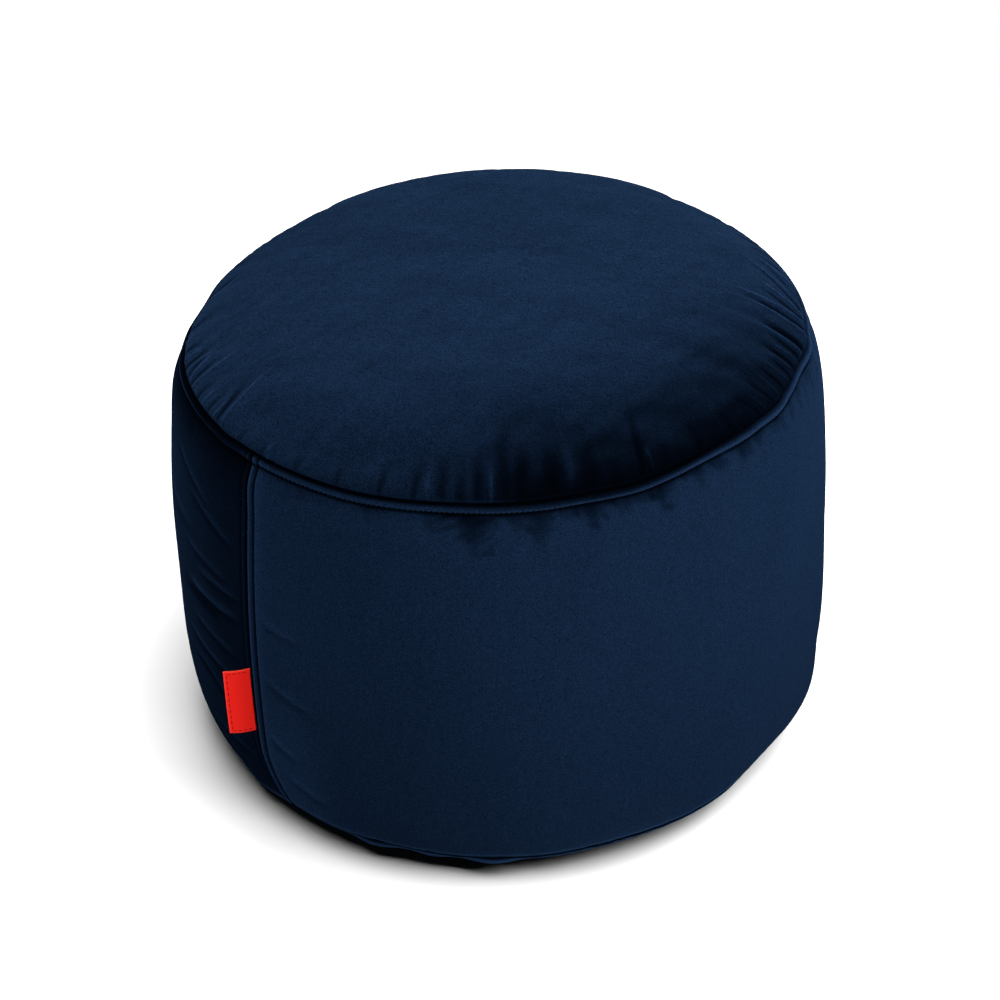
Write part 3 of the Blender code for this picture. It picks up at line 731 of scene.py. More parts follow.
def cloth_grid(name, column_count, row_count):
    """A flat grid of cloth, with each point's column and row."""
    grid = bmesh.new()
    bmesh.ops.create_grid(grid, x_segments=column_count, y_segments=row_count - 1, size=0.5)
    mesh = mesh_from(grid, name)
    shares = mesh_points(mesh)[:, :2] + 0.5
    column = np.rint(shares[:, 0] * column_count).astype(int) % column_count
    row = np.rint(shares[:, 1] * (row_count - 1)).astype(int)
    return mesh, column, row


def unit(rows):
    """The rows' directions."""
    return rows / np.linalg.norm(rows, axis=1)[:, None]


def line_ahead(profile):
    """The profile's unit direction at each of its rows."""
    return unit(np.gradient(profile, axis=0))


def keep(mesh, name, values):
    """Keeps whole numbers with the mesh's points."""
    mesh.attributes.new(name, "INT", "POINT").data.foreach_set("value", values.astype(np.int32))


def kept(mesh, name):
    """The whole numbers kept with the mesh's points."""
    values = np.empty(len(mesh.vertices), np.int32)
    mesh.attributes[name].data.foreach_get("value", values)
    return values


def weigh(piece, name, weights):
    """Gives the piece a group of its points, with their weights."""
    group = piece.vertex_groups.new(name=name)
    for index, weight in enumerate(weights):
        group.add([index], float(weight), "REPLACE")


def simulate(piece, held, eased):
    """Lets a piece's cloth settle over its filling, and returns how its points shift."""
    weigh(piece, "held", held)
    weigh(piece, "eased", eased)
    cloth = piece.modifiers.new("cloth", "CLOTH")
    for setting, value in VELVET_CLOTH.items():
        setattr(cloth.settings, setting, value)
    cloth.settings.effector_weights.gravity = 0.0
    cloth.collision_settings.use_collision = False
    scene = bpy.context.scene
    for frame in range(1, EASED_FRAMES + 1):
        scene.frame_set(frame)
    start = mesh_points(piece.data)
    drawn = piece.evaluated_get(bpy.context.evaluated_depsgraph_get())
    shift = mesh_points(drawn.to_mesh()) - start
    drawn.to_mesh_clear()
    scene.frame_set(1)
    return shift


Easing = namedtuple("Easing", "length out ahead round")


def ease_cloth(profile, relief, held, eased):
    """Simulates a panel on a coarse grid, and returns how far its cloth shifts at each row and column.

    Held and eased are functions of a point's angle and place along the profile, and of the profile's
    end. The shift that is the same all the way round is left out, so the panel keeps its profile.
    """
    mesh, column, row = cloth_grid("eased", EASED_COLUMNS, len(profile))
    angle = column * 2.0 * np.pi / EASED_COLUMNS
    radius, height = profile[row, 0], profile[row, 1]
    length, ahead = line_length(profile), line_ahead(profile)
    uneven = np.random.default_rng(SEED).uniform(-UNEVENNESS, UNEVENNESS, (len(profile), EASED_COLUMNS))
    loose = 1.0 - held(angle, length[row], length[-1])
    rise = relief(angle, radius, height) + uneven[row, column] * loose
    raised = np.where(radius < MERGE_DISTANCE, 0.0, radius + rise * ahead[row, 1])
    across = np.column_stack([raised * np.sin(angle), -raised * np.cos(angle)])
    set_points(mesh, np.column_stack([across, height - rise * ahead[row, 0]]))
    keep(mesh, "column", column)
    keep(mesh, "row", row)
    close_cloth(mesh, open_sheet=True)
    piece = link("eased", mesh)
    column, row = kept(mesh, "column"), kept(mesh, "row")
    angle = column * 2.0 * np.pi / EASED_COLUMNS
    place = length[row]
    shift = simulate(piece, held(angle, place, length[-1]), eased(angle, place, length[-1]))
    bpy.data.objects.remove(piece)
    shift *= (LARGEST_SHIFT / np.maximum(np.linalg.norm(shift, axis=1), LARGEST_SHIFT))[:, None]
    outward = shift[:, 0] * np.sin(angle) - shift[:, 1] * np.cos(angle)
    parts = (
        outward * ahead[row, 1] - shift[:, 2] * ahead[row, 0],
        outward * ahead[row, 0] + shift[:, 2] * ahead[row, 1],
        shift[:, 0] * np.cos(angle) + shift[:, 1] * np.sin(angle),
    )
    fields = []
    for part in parts:
        field = np.zeros((len(profile), EASED_COLUMNS))
        field[row, column] = part
        field -= field.mean(axis=1, keepdims=True)
        fields.append(np.hstack([field, field[:, :1]]))
    return Easing(length, *fields)


def eased_shift(easing, angle, place):
    """The simulated shift at angles and places along the profile: out, ahead and round."""
    column = (angle % (2.0 * np.pi)) / (2.0 * np.pi) * EASED_COLUMNS
    row = np.interp(place, easing.length, np.arange(len(easing.length)))
    return [blended(field, row, column) for field in (easing.out, easing.ahead, easing.round)]


def eased_rows(stations, count, density, relief, held, eased, freedom):
    """A panel's rows, and the shift that its simulated cloth adds on them.

    Freedom is the share of the shift that is kept, from the angle and the place along the panel.
    """
    rows = graded_line(stations, count, density)
    easing = ease_cloth(graded_line(stations, EASED_ROWS, density), relief, held, eased)
    places = line_length(rows)

    def shift(angle, radius, height):
        place = np.interp(height, rows[:, 1], places)
        return [part * freedom(angle, place) for part in eased_shift(easing, angle, place)]

    return rows, shift


def rolled_cloth(name, columns, profile, relief, nap, level=False, shift=None):
    """A grid of cloth rolled once round the axis, raised by its relief, and settled.

    The profile is rows of radius and height, which turn round the axis. The relief stands along the
    profile's own normals, or straight out from the axis if level is set. Shift gives what a
    simulation adds, from the angle, radius and height.
    """
    profile = np.array(profile)
    mesh, column, row = cloth_grid(name, len(columns), len(profile))
    ahead = line_ahead(profile)[row]
    angle, radius, height = columns[column], profile[row, 0], profile[row, 1]
    set_tone_and_painted_light(mesh, nap(angle, radius, height))
    rise = relief(angle, radius, height)
    if level:
        radius = radius + rise
    elif shift is None:
        radius = radius + rise * ahead[:, 1]
        height = height - rise * ahead[:, 0]
    else:
        out, along, around = shift(angle, radius, height)
        out = out + rise
        angle = angle + around / WIDEST_RADIUS
        radius = radius + out * ahead[:, 1] + along * ahead[:, 0]
        height = height - out * ahead[:, 0] + along * ahead[:, 1]
    radius = np.where(profile[row, 0] < MERGE_DISTANCE, 0.0, radius)
    set_points(mesh, settled(angle, radius, height))
    close_cloth(mesh)
    return mesh


def add_piece(mesh, material):
    """Links a mesh as a piece of its own name, shaded smooth."""
    mesh.shade_smooth()
    mesh.set_sharp_from_angle(angle=SHARP_ANGLE)
    mesh.materials.append(material)
    return link(mesh.name, mesh)


def painted_light_over(rise):
    """Painted light over relief, against plain cloth: painted shade in troughs, painted highlights on
    ridges.
    """
    return np.clip(np.exp(PAINTED_LIGHT_SHARE * rise / MM), DEEPEST_PAINTED_SHADE, BRIGHTEST_PAINTED_LIGHT)


def seam_shade(from_seam, reach, power):
    """The dark line along a seam: 0 on it, and 1 away from it."""
    return 1.0 - np.exp(-(from_seam / reach) ** power)


def mottle(to_right, to_front, seed, waves):
    """Uneven brush marks over a cloth: waves of many directions, round 0. Waves are their range."""
    draw = np.random.default_rng(seed)
    marks = np.zeros_like(to_right)
    for _ in range(MOTTLE_WAVES):
        turn, phase = draw.uniform(*MOTTLE_TURNS), draw.uniform(0.0, 2.0 * np.pi)
        wave = 2.0 * np.pi / (draw.uniform(*waves) * MM)
        marks += np.sin(wave * (to_right * np.sin(turn) + to_front * np.cos(turn)) + phase)
    return marks / math.sqrt(MOTTLE_WAVES / 2.0)


def crown_tone_and_painted_light(angle, radius, height):
    """The crown's tone: painted shade along the front right of its edge, at its back and in its tucks,
    and painted highlights on its ridges.
    """
    to_right, to_front = radius * np.sin(angle), radius * np.cos(angle)
    marks = mottle(to_right, to_front, SEED, CROWN_WAVES)
    from_seam = crown_distance(radius, height)
    edge = np.interp(
        np.degrees(turn_between(angle, 0.0)),
        [shade.angle for shade in CROWN_EDGE_SHADE],
        [shade.share for shade in CROWN_EDGE_SHADE],
    )
    unevenness = CROWN_SHADE_UNEVENNESS * marks * smooth_step(from_seam / CROWN_MARKS_FROM)
    inward = np.maximum(from_seam + unevenness, 0.0)
    shaded = CROWN_SHADE * edge * np.exp(-(inward / CROWN_SHADE_REACH) ** CROWN_SHADE_POWER)
    band = hump((inward - SHADED_BAND_PLACE) / SHADED_BAND_HALF_WIDTH)
    band *= hump(turn_between(angle, SHADED_BAND_MIDDLE) / SHADED_BAND_HALF_TURN)
    shaded = shaded + SHADED_BAND_DEPTH * band
    to_back = smooth_step(0.5 - 0.8 * to_front / TOP_SEAM_RADIUS)
    nap = (CROWN_TONE + (BACK_SHADED_TONE - CROWN_TONE) * to_back) * (1.0 - shaded) * (1.0 + CROWN_MARKS * marks)
    nap = nap * painted_light_over(-tuck_depth(CROWN_TUCKS, angle, radius, from_seam))
    nap = nap * painted_light_over(-CROWN_RIDGE_SHOW * tuck_depth(CROWN_RIDGES, angle, radius, from_seam))
    lip = fold_line(angle, from_seam + FOLD_LINE_LIP)
    nap *= 1.0 - FOLD_LINE_SHADE * fold_line(angle, from_seam) + FOLD_LIP_LIGHT * lip
    return nap * seam_shade(from_seam, CROWN_LINE_REACH, 4)


def painted_shadow_wedges(shadows, angle, radius, from_seam):
    """How much the painted shadows leave lit: dark wedges of painted shade that start at the seam and
    narrow to an end.
    """
    unshaded = np.ones_like(angle)
    marks = mottle(radius * angle, -from_seam, SEED + 5, SHADOW_WAVES)
    for shadow in shadows:
        down = from_seam * (1.0 + SHADOW_END_UNEVENNESS * marks)
        along = np.clip(down / (shadow.reach * MM), 0.0, 1.0)
        middle = np.radians(shadow.angle + shadow.slant * along)
        half_width = (shadow.head_width + (shadow.foot_width - shadow.head_width) * along) * MM
        across = np.abs(turn_between(angle, middle)) * radius / half_width
        across = across + SHADOW_SIDE_UNEVENNESS * marks
        unshaded *= 1.0 - shadow.depth * smooth_step(SHADOW_SPREAD - across) * (1.0 - along)
    return unshaded


def wall_tone_and_painted_light(angle, radius, height):
    """The wall's tone: brushed the other way left of the upright seam, with painted shade and painted
    highlights.
    """
    left = turn_between(UPRIGHT_SEAM_ANGLE, angle)
    from_rib = below_rib(height)
    from_base = np.maximum(height - SEEN_BASE_HEIGHT, 0.0)
    past_seam = smooth_step(left / BRUSH_LINE)
    brushed = past_seam * (1.0 - smooth_step(left / BRUSHED_TURN))
    lie = LEFT_LIE + (LEFT_LIE_FURTHER - LEFT_LIE) * smooth_step(left / FURTHER_TURN)
    nap = (1.0 - (1.0 - lie) * brushed) * seam_painted_light(angle)
    nap *= 1.0 - WALL_SHADE * (1.0 - smooth_step(from_base / WALL_SHADE_REACH))
    reached = past_seam * (1.0 - smooth_step(left / RIB_SHADE_TURN - RIB_SHADE_SPREAD))
    nap *= 1.0 - RIB_SHADE * reached * np.exp(-from_rib / RIB_SHADE_REACH)
    low_down = smooth_step((LOW_BAND_TOP - height) / LOW_BAND_FADE)
    in_band = hump(turn_between(angle, LOW_BAND_MIDDLE) / LOW_BAND_HALF_TURN)
    nap *= 1.0 + LOW_BAND_LIGHT * low_down * in_band
    nap *= painted_light_over(-WALL_TUCK_SHOW * tuck_depth(WALL_TUCKS, angle, radius, from_rib))
    nap *= painted_shadow_wedges(WALL_PAINTED_SHADOWS, angle, radius, from_rib)
    nap *= painted_light_over(WALL_CREASE_SHOW * crease_relief(WALL_CREASES, angle, height))
    nap *= 1.0 - RIB_FOOT_SHADE * np.exp(-from_rib / RIB_FOOT_REACH)
    nap *= seam_shade(from_rib, SEAM_SHADE_REACH, 3)
    rim = (from_base - FOOT_RIM_PLACE) / FOOT_RIM_HALF_WIDTH
    nap *= 1.0 + FOOT_RIM_LIGHT * np.exp(-rim ** 2)
    return nap * seam_shade(from_base, SEAM_SHADE_REACH, 3)


def rib_share(height):
    """How far down the rib a height is: 0 at its upper edge, and 1 at its lower one."""
    return (TOP_SEAM_HEIGHT - SEAM_GAP - height) / (RIB_WIDTH * math.sin(RIB_SLOPE))


def rib_painted_light(angle, radius, height):
    """The rib's painted light: painted shade along its upper half, and at the far left but for a painted
    highlight on its lower edge.
    """
    turned = np.degrees(turn_between(angle, 0.0))
    column = np.interp(turned, RIB_PAINTED_ANGLES, np.arange(len(RIB_PAINTED_ANGLES)))
    row = np.interp(rib_share(height), [line.share for line in RIB_PAINTED_LEVELS], np.arange(len(RIB_PAINTED_LEVELS)))
    return blended(np.array([line.naps for line in RIB_PAINTED_LEVELS]), row, column) * seam_painted_light(angle)


def base_painted_light(angle, radius, height):
    """The base's painted light: painted shade at the seam, and lighter on the roll of its edge."""
    return BASE_PAINTED_LIGHT * seam_shade(BASE_SEAM_HEIGHT - height, SEAM_SHADE_REACH, 2)


def make_crown(material):
    """The top panel: a filled round whose edge is eased into the seam and drawn down steeply."""
    stations = [
        (TOP_SEAM_RADIUS * station.radius_share, TOP_SEAM_HEIGHT + CROWN_RISE * station.rise_share)
        for station in CROWN
    ]

    def density(along):
        tucked = 2.2 * np.exp(-(along / TUCKED_REACH) ** 2)
        return 1.0 + tucked + 6.0 * np.exp(-along / SEAM_ROLL_REACH)

    def held(angle, place, end):
        return (place < MERGE_DISTANCE) * 1.0

    def eased(angle, place, end):
        return np.exp(-(place / EASE_REACH) ** 2)

    def freedom(angle, place):
        near_seam = 1.0 - smooth_step(place / CROWN_EASE_LIMIT - 1.0)
        return near_seam * (1.0 - BACK_FLATNESS * smooth_step(-np.cos(angle)))

    def relief(angle, radius, height):
        return np.where(height < TOP_SEAM_HEIGHT, 0.0, crown_relief(angle, radius, height))

    rows, shift = eased_rows(stations, CROWN_ROWS, density, main_crown_relief, held, eased, freedom)
    profile = [(0.0, TOP_SEAM_HEIGHT - SEAM_GAP)] + list(rows)
    columns = crowded_columns(CROWN_COLUMNS, CROWN_CROWDING)
    mesh = rolled_cloth("crown", columns, profile, relief, crown_tone_and_painted_light, shift=shift)
    return add_piece(mesh, material)


def make_wall(material):
    """The side panel, from the base seam up to where it turns under the rib."""
    foot, top = WALL[0].height * MM, TOP_SEAM_HEIGHT - 4 * SEAM_GAP
    under_rib = (TOP_SEAM_RADIUS + RIB_WIDTH * math.cos(RIB_SLOPE), rib_foot_height())

    def density(along):
        at_base = 0.8 * np.exp(-along / (15 * MM))
        at_rib = 1.5 * np.exp((along - WALL_LENGTH) / (22 * MM))
        return 1.0 + at_base + at_rib

    def off_seam(angle):
        return np.abs(turn_between(angle, UPRIGHT_SEAM_ANGLE)) * WIDEST_RADIUS

    def held(angle, place, end):
        at_end = (place < MERGE_DISTANCE) | (place > end - MERGE_DISTANCE)
        return (at_end | (off_seam(angle) < SEWN_HALF_WIDTH)) * 1.0

    def eased(angle, place, end):
        at_ends = np.exp(-(place / EASE_REACH) ** 2) + np.exp(-((end - place) / EASE_REACH) ** 2)
        return np.minimum(at_ends + 0.5 * np.exp(-(off_seam(angle) / EASE_REACH) ** 2), 1.0)

    def freedom(angle, place):
        return smooth_step((off_seam(angle) - SEWN_HALF_WIDTH) / EASE_REACH)

    def relief(angle, radius, height):
        seen = (height > foot) & (height < top)
        return np.where(seen, wall_relief(angle, radius, height), 0.0)

    stations = section_line(WALL) + [under_rib]
    rows, shift = eased_rows(stations, WALL_ROWS, density, main_wall_relief, held, eased, freedom)
    profile = [(0.0, foot)] + list(rows) + [(TOP_SEAM_RADIUS, top), (0.0, top)]
    columns = crowded_columns(WALL_COLUMNS, WALL_CROWDING)
    mesh = rolled_cloth("wall", columns, profile, relief, wall_tone_and_painted_light, shift=shift)
    return add_piece(mesh, material)


def make_base(material):
    """The base panel: flat where it rests, with an uneven rolled edge."""
    edge = list(smooth_line(section_line(BASE_EDGE), BASE_ROWS))
    profile = [(0.0, 0.0)] + edge + [(0.0, BASE_SEAM_HEIGHT)]

    def relief(angle, radius, height):
        share = np.clip(height / BASE_SEAM_HEIGHT, 0.0, 1.0)
        return BASE_LIP_SHARE * lip_bulge(angle) * np.sin(np.pi * share)

    mesh = rolled_cloth("base", even_columns(BASE_COLUMNS), profile, relief, base_painted_light, level=True)
    return add_piece(mesh, material)


def make_hem(material):
    """The rolled hem under the wall, drawn out here and there into lips."""
    stations = section_line(HEM)
    profile = list(smooth_line(stations + stations[:1], HEM_ROWS))
    inner, outer = min(s.radius for s in HEM) * MM, max(s.radius for s in HEM) * MM
    top = HEM[1].height * MM

    def outward(radius):
        return (radius - inner) / (outer - inner)

    def relief(angle, radius, height):
        drawn_out = lip_bulge(angle) * smooth_step(outward(radius))
        return drawn_out + swelling(WALL_SWELLS, angle, np.full_like(angle, top))

    def nap(angle, radius, height):
        at_edge = smooth_step(outward(radius) * 2.0 - 1.0)
        at_left = hump(turn_between(angle, HEM_SHADED_MIDDLE) / HEM_SHADED_HALF_TURN)
        return (HEM_PAINTED_SHADE + HEM_EDGE_HIGHLIGHT * at_edge ** 3) * (1.0 - HEM_SHADE * smooth_step(2.0 * at_left))

    mesh = rolled_cloth("hem", even_columns(BASE_COLUMNS), profile, relief, nap, level=True)
    return add_piece(mesh, material)


def rib_section(share, rise):
    """The point of the rib's section at a share of its width and a rise over its flat."""
    along = RIB_WIDTH * share
    out = along * math.cos(RIB_SLOPE) + rise * math.sin(RIB_SLOPE)
    down = along * math.sin(RIB_SLOPE) - rise * math.cos(RIB_SLOPE)
    return (TOP_SEAM_RADIUS + out, TOP_SEAM_HEIGHT - SEAM_GAP - down)


def make_rib(material):
    """The side panel's turned upper edge, a flattened band pinched in at each stitch."""
    profile = [
        rib_section(share, RIB_RISE * math.sin(math.pi * share) ** RIB_FLATNESS)
        for share in np.linspace(1.0, 0.0, RIB_ROWS)
    ]
    profile += [rib_section(0.1, RIB_INNER_RISE), rib_section(0.9, RIB_INNER_RISE), profile[0]]
    stitches = round(2.0 * math.pi * TOP_SEAM_RADIUS / STITCH_PITCH)

    def relief(angle, radius, height):
        pinch = 0.5 + 0.5 * np.cos(angle * stitches)
        near_stitch = smooth_step((rib_share(height) - RIB_PINCH_FROM) / RIB_PINCH_SPAN)
        scalloped = smooth_step((RIB_PINCH_TURN - turn_between(angle, 0.0)) / RIB_PINCH_FADE)
        crossing = seam_section(angle) * RIB_CROSSING_SHARE
        return -RIB_PINCH * pinch * near_stitch * scalloped + crossing

    columns = even_columns(stitches * COLUMNS_PER_STITCH)
    return add_piece(rolled_cloth("rib", columns, profile, relief, rib_painted_light), material)


def wall_place(angle, height, lift):
    """Settled places over the wall, as rows, at angles and heights."""
    line = smooth_line(section_line(WALL), 400)
    radius = np.interp(height, line[:, 1], line[:, 0])
    return settled(angle, radius + wall_relief(angle, radius, height) + lift, height)


def tab_place(across, height, lift):
    """Places on the tab, as rows, at shares of its width and at heights on its root."""
    root_angle = UPRIGHT_SEAM_ANGLE + TAB_ROOT_OFFSET / WIDEST_RADIUS
    root = wall_place(np.full_like(height, root_angle), height, TAB_ROOT_LIFT)
    outward = np.array([math.sin(root_angle), -math.cos(root_angle), 0.0])
    leftward = np.array([-math.cos(root_angle), -math.sin(root_angle), 0.0])
    reach = leftward * math.cos(TAB_STAND_OFF) + outward * math.sin(TAB_STAND_OFF)
    face = outward * math.cos(TAB_STAND_OFF) - leftward * math.sin(TAB_STAND_OFF)
    curl = TAB_CURL * np.sin(np.pi * across) + lift
    points = root + reach * TAB_WIDTH * across[:, None] + face * curl[:, None]
    points[:, 2] -= TAB_DROOP * across
    return points


def make_tab(material):
    """The bare tab: folded tape that stands off the wall like a flag."""
    tab = bmesh.new()
    bmesh.ops.create_grid(tab, x_segments=24, y_segments=60, size=0.5)
    mesh = mesh_from(tab, "tab_cloth")
    across, down = 0.5 - mesh_points(mesh)[:, :2].T
    from_edge = np.minimum(np.minimum(down, 1.0 - down) * TAB_LENGTH, (1.0 - across) * TAB_WIDTH)
    set_tone_and_painted_light(mesh, smooth_step(1.0 - from_edge / TAB_THICKNESS))
    set_points(mesh, tab_place(across, TAB_TOP_HEIGHT - TAB_LENGTH * down, 0.0))
    piece = add_piece(mesh, material)
    thickness = piece.modifiers.new("cloth_thickness", "SOLIDIFY")
    thickness.thickness = TAB_THICKNESS
    thickness.offset = 0.0
    return piece


def make_stitches(name, lines, thickness, material):
    """Topstitching: one short thread between each two places of a line."""
    starts = np.vstack([line[:-1] for line in lines])
    ends = np.vstack([line[1:] for line in lines])
    thread = bmesh.new()
    bmesh.ops.create_uvsphere(thread, u_segments=8, v_segments=6, radius=0.5)
    one = mesh_from(thread, name)
    maker = link(name, one)
    row = maker.modifiers.new("row", "ARRAY")
    row.count = len(starts)
    row.use_relative_offset = False
    drawn = maker.evaluated_get(bpy.context.evaluated_depsgraph_get())
    mesh = bpy.data.meshes.new_from_object(drawn)
    bpy.data.objects.remove(maker)
    bpy.data.meshes.remove(one)
    mesh.name = name
    shape = mesh_points(mesh).reshape(len(starts), -1, 3)
    ahead = ends - starts
    aside = unit(np.cross(ahead, starts)) * thickness
    above = unit(np.cross(ahead, aside)) * thickness
    points = ((starts + ends) / 2.0)[:, None] + shape[:, :, :1] * aside[:, None]
    points += shape[:, :, 1:2] * above[:, None] + shape[:, :, 2:] * ahead[:, None] * STITCH_SHARE
    set_points(mesh, points.reshape(-1, 3))
    return add_piece(mesh, material)


def stitch_count(length):
    """How many places a line of stitches has."""
    return round(length / STITCH_PITCH) + 1


def make_wall_stitches(material):
    """The topstitching of the upright seam, on each side of its ridge."""
    foot, head = BASE_SEAM_HEIGHT + BASE_SEAM_HOLD, rib_foot_height() - TOP_SEAM_HOLD
    height = np.linspace(foot, head, stitch_count(head - foot))
    lines = []
    for offset in UPRIGHT_STITCHES:
        angle = UPRIGHT_SEAM_ANGLE + offset * MM / WIDEST_RADIUS
        lines.append(wall_place(np.full_like(height, angle), height, THREAD_LIFT))
    return make_stitches("wall_stitches", lines, THREAD_THICKNESS, material)


def make_rib_stitches(material):
    """The topstitching that holds the rib's lower edge, all the way round."""
    angle = np.linspace(0.0, 2.0 * np.pi, stitch_count(2.0 * math.pi * TOP_SEAM_RADIUS))
    radius, height = rib_section(RIB_STITCH_SHARE, RIB_STITCH_RISE)
    line = settled(angle, np.full_like(angle, radius), np.full_like(angle, height))
    return make_stitches("rib_stitches", [line], THREAD_THICKNESS, material)


def make_tab_stitches(material):
    """The stitched border on the tab's face: its top, its free side and its bottom."""
    top, bottom = TAB_TOP_HEIGHT - TAB_STITCH_INSET, TAB_TOP_HEIGHT - TAB_LENGTH + TAB_STITCH_INSET
    side = 1.0 - TAB_STITCH_INSET / TAB_WIDTH
    lift = TAB_THICKNESS / 2
    across = np.linspace(TAB_STITCH_INSET / TAB_WIDTH, side, TAB_STITCHES_ACROSS + 1)
    down = np.linspace(top, bottom, TAB_STITCHES_DOWN + 1)
    lines = [
        tab_place(across, np.full_like(across, top), lift),
        tab_place(np.full_like(down, side), down, lift),
        tab_place(across, np.full_like(across, bottom), lift),
    ]
    return make_stitches("tab_stitches", lines, TAB_THREAD_THICKNESS, material)


# ---------------------------------------------------------------- materials


class Value:
    """A number in a shader: an expression on values adds the Math nodes for it."""

    def __init__(self, shade, socket):
        self.shade = shade
        self.socket = socket

    def math(self, operation, first, second):
        node = self.shade.node("ShaderNodeMath", {"operation": operation}, {0: first, 1: second})
        return Value(self.shade, node.outputs[0])

    def __add__(self, other):
        return self.math("ADD", self, other)

    __radd__ = __add__

    def __sub__(self, other):
        return self.math("SUBTRACT", self, other)

    def __rsub__(self, other):
        return self.math("SUBTRACT", other, self)

    def __mul__(self, other):
        return self.math("MULTIPLY", self, other)

    __rmul__ = __mul__


class Shade:
    """The nodes of one material, or of the surround."""

    def __init__(self, owner):
        owner.use_nodes = True
        self.owner = owner
        self.tree = owner.node_tree

    def node(self, kind, settings=None, sockets=None):
        """Adds a node of a kind, sets its settings first, then fills or links its sockets."""
        node = self.tree.nodes.new(kind)
        for setting, value in (settings or {}).items():
            setattr(node, setting, value)
        return self.fill(node, sockets or {})

    def fill(self, node, sockets):
        """Fills a node's sockets with numbers, or links them to values or outputs."""
        for key, value in sockets.items():
            socket = node.inputs[key]
            if isinstance(value, Value):
                self.tree.links.new(value.socket, socket)
            elif isinstance(value, bpy.types.NodeSocket):
                self.tree.links.new(value, socket)
            else:
                socket.default_value = value
        return node

    def value(self, node, output):
        """An output of a node, as a value."""
        return Value(self, node.outputs[output])

    def noise(self, scale, detail, roughness, stroke):
        """An uneven value round 0.5, over object coordinates that are turned and stretched."""
        place = self.node(
            "ShaderNodeMapping",
            {"vector_type": "TEXTURE"},
            {"Vector": self.node("ShaderNodeTexCoord").outputs["Object"],
             "Rotation": (0.0, 0.0, stroke.turn), "Scale": stroke.stretch},
        )
        node = self.node(
            "ShaderNodeTexNoise",
            {"noise_dimensions": "3D"},
            {"Vector": place.outputs["Vector"], "Scale": scale, "Detail": detail,
             "Roughness": roughness},
        )
        return self.value(node, "Fac")

    def nap(self):
        """The tone with its painted light and shade, kept with the piece's points."""
        return self.value(self.node("ShaderNodeAttribute", {"attribute_name": "nap"}), "Fac")

    def seen(self):
        """Whether the camera looks straight at the surface."""
        return self.value(self.node("ShaderNodeLightPath"), "Is Camera Ray")

    def blend(self, factor, first, second):
        """A colour between two colours."""
        node = self.node("ShaderNodeMix", {"data_type": "RGBA"}, {"Factor": factor, 6: first, 7: second})
        return node.outputs[2]

    def bump(self, height, distance, strength):
        """A normal raised by a value."""
        sockets = {"Height": height, "Distance": distance, "Strength": strength}
        return self.node("ShaderNodeBump", {}, sockets).outputs["Normal"]

    def set(self, sockets):
        """Sets or links sockets of the surface."""
        return self.fill(self.tree.nodes["Principled BSDF"], sockets).outputs["BSDF"]

    def mix(self, factor, first, second):
        """Makes the material a mix of two shaders."""
        mixed = self.node("ShaderNodeMixShader", {}, {0: factor, 1: first, 2: second})
        self.fill(self.tree.nodes["Material Output"], {"Surface": mixed.outputs["Shader"]})


def grey(tone):
    """A colour without a hue."""
    return (tone, tone, tone, 1.0)


# The velvet's lit colour, and a near-black copy of it for painted shade, mixed by the painted light kept
# with each piece.
VELVET_PAINTED_SHADE = (0.0002, 0.0005, 0.0012, 1.0)
VELVET_LIT = (0.0072, 0.0194, 0.0500, 1.0)
VELVET_SHEEN = (0.19, 0.45, 1.0, 1.0)
LIT_SHEEN = 0.09
SHADED_SHEEN = 0.002
LIT_SHARE = 0.6
GRAIN_BUMP = 0.4 * MM
STROKE_SCALE = 300.0
NAVY_THREAD = (0.0010, 0.0024, 0.0060, 1.0)
RED_THREAD = (0.22, 0.002, 0.002, 1.0)
RED_TAPE_DARK = (0.96, 0.012, 0.008, 1.0)
RED_TAPE_LIGHT = (1.0, 0.020, 0.013, 1.0)
RED_TAPE_EDGE = (1.0, 0.06, 0.035, 1.0)
WEAVE_SCALE = 1500.0
WEAVE_BUMP = 0.3 * MM
Stroke = namedtuple("Stroke", "turn stretch")
PLAIN_STROKE = Stroke(0.0, (1.0, 1.0, 1.0))
Pile = namedtuple("Pile", "stroke grain_scale grain stroke_depth patch_scale patch_depth")
CROWN_PILE = Pile(Stroke(math.radians(-25), (2.2, 1.0, 1.0)), 950.0, 2.2, 0.6, 22.0, 0.5)
WALL_PILE = Pile(Stroke(0.0, (1.0, 1.0, 2.0)), 1100.0, 2.0, 0.3, 23.0, 0.2)


def velvet(name, pile):
    """Navy velvet: short dense pile with a fine uneven grain, brushed along a stroke. It mixes a lit
    copy with a near-black copy of painted shade, by the tone and painted light kept with the piece.
    """
    shade = Shade(bpy.data.materials.new(name))
    grain = shade.noise(pile.grain_scale, 1.0, 0.5, PLAIN_STROKE)
    strokes = shade.noise(STROKE_SCALE, 2.0, 0.6, pile.stroke)
    patches = shade.noise(pile.patch_scale, 3.0, 0.6, pile.stroke)
    lie = 1.0 + pile.grain * (grain - 0.5)
    lie = lie + pile.stroke_depth * (strokes - 0.5) + pile.patch_depth * (patches - 0.5)
    cloth = {
        "Roughness": 0.9,
        "Specular IOR Level": 0.0,
        "Sheen Roughness": 0.5,
        "Sheen Tint": VELVET_SHEEN,
        "Normal": shade.bump(grain, GRAIN_BUMP, 0.5),
    }
    lit_copy = shade.set({**cloth, "Base Color": VELVET_LIT, "Sheen Weight": LIT_SHEEN})
    sockets = {**cloth, "Base Color": VELVET_PAINTED_SHADE, "Sheen Weight": SHADED_SHEEN}
    shaded = shade.node("ShaderNodeBsdfPrincipled", {}, sockets).outputs["BSDF"]
    shade.mix(LIT_SHARE * shade.nap() * lie, shaded, lit_copy)
    return shade.owner


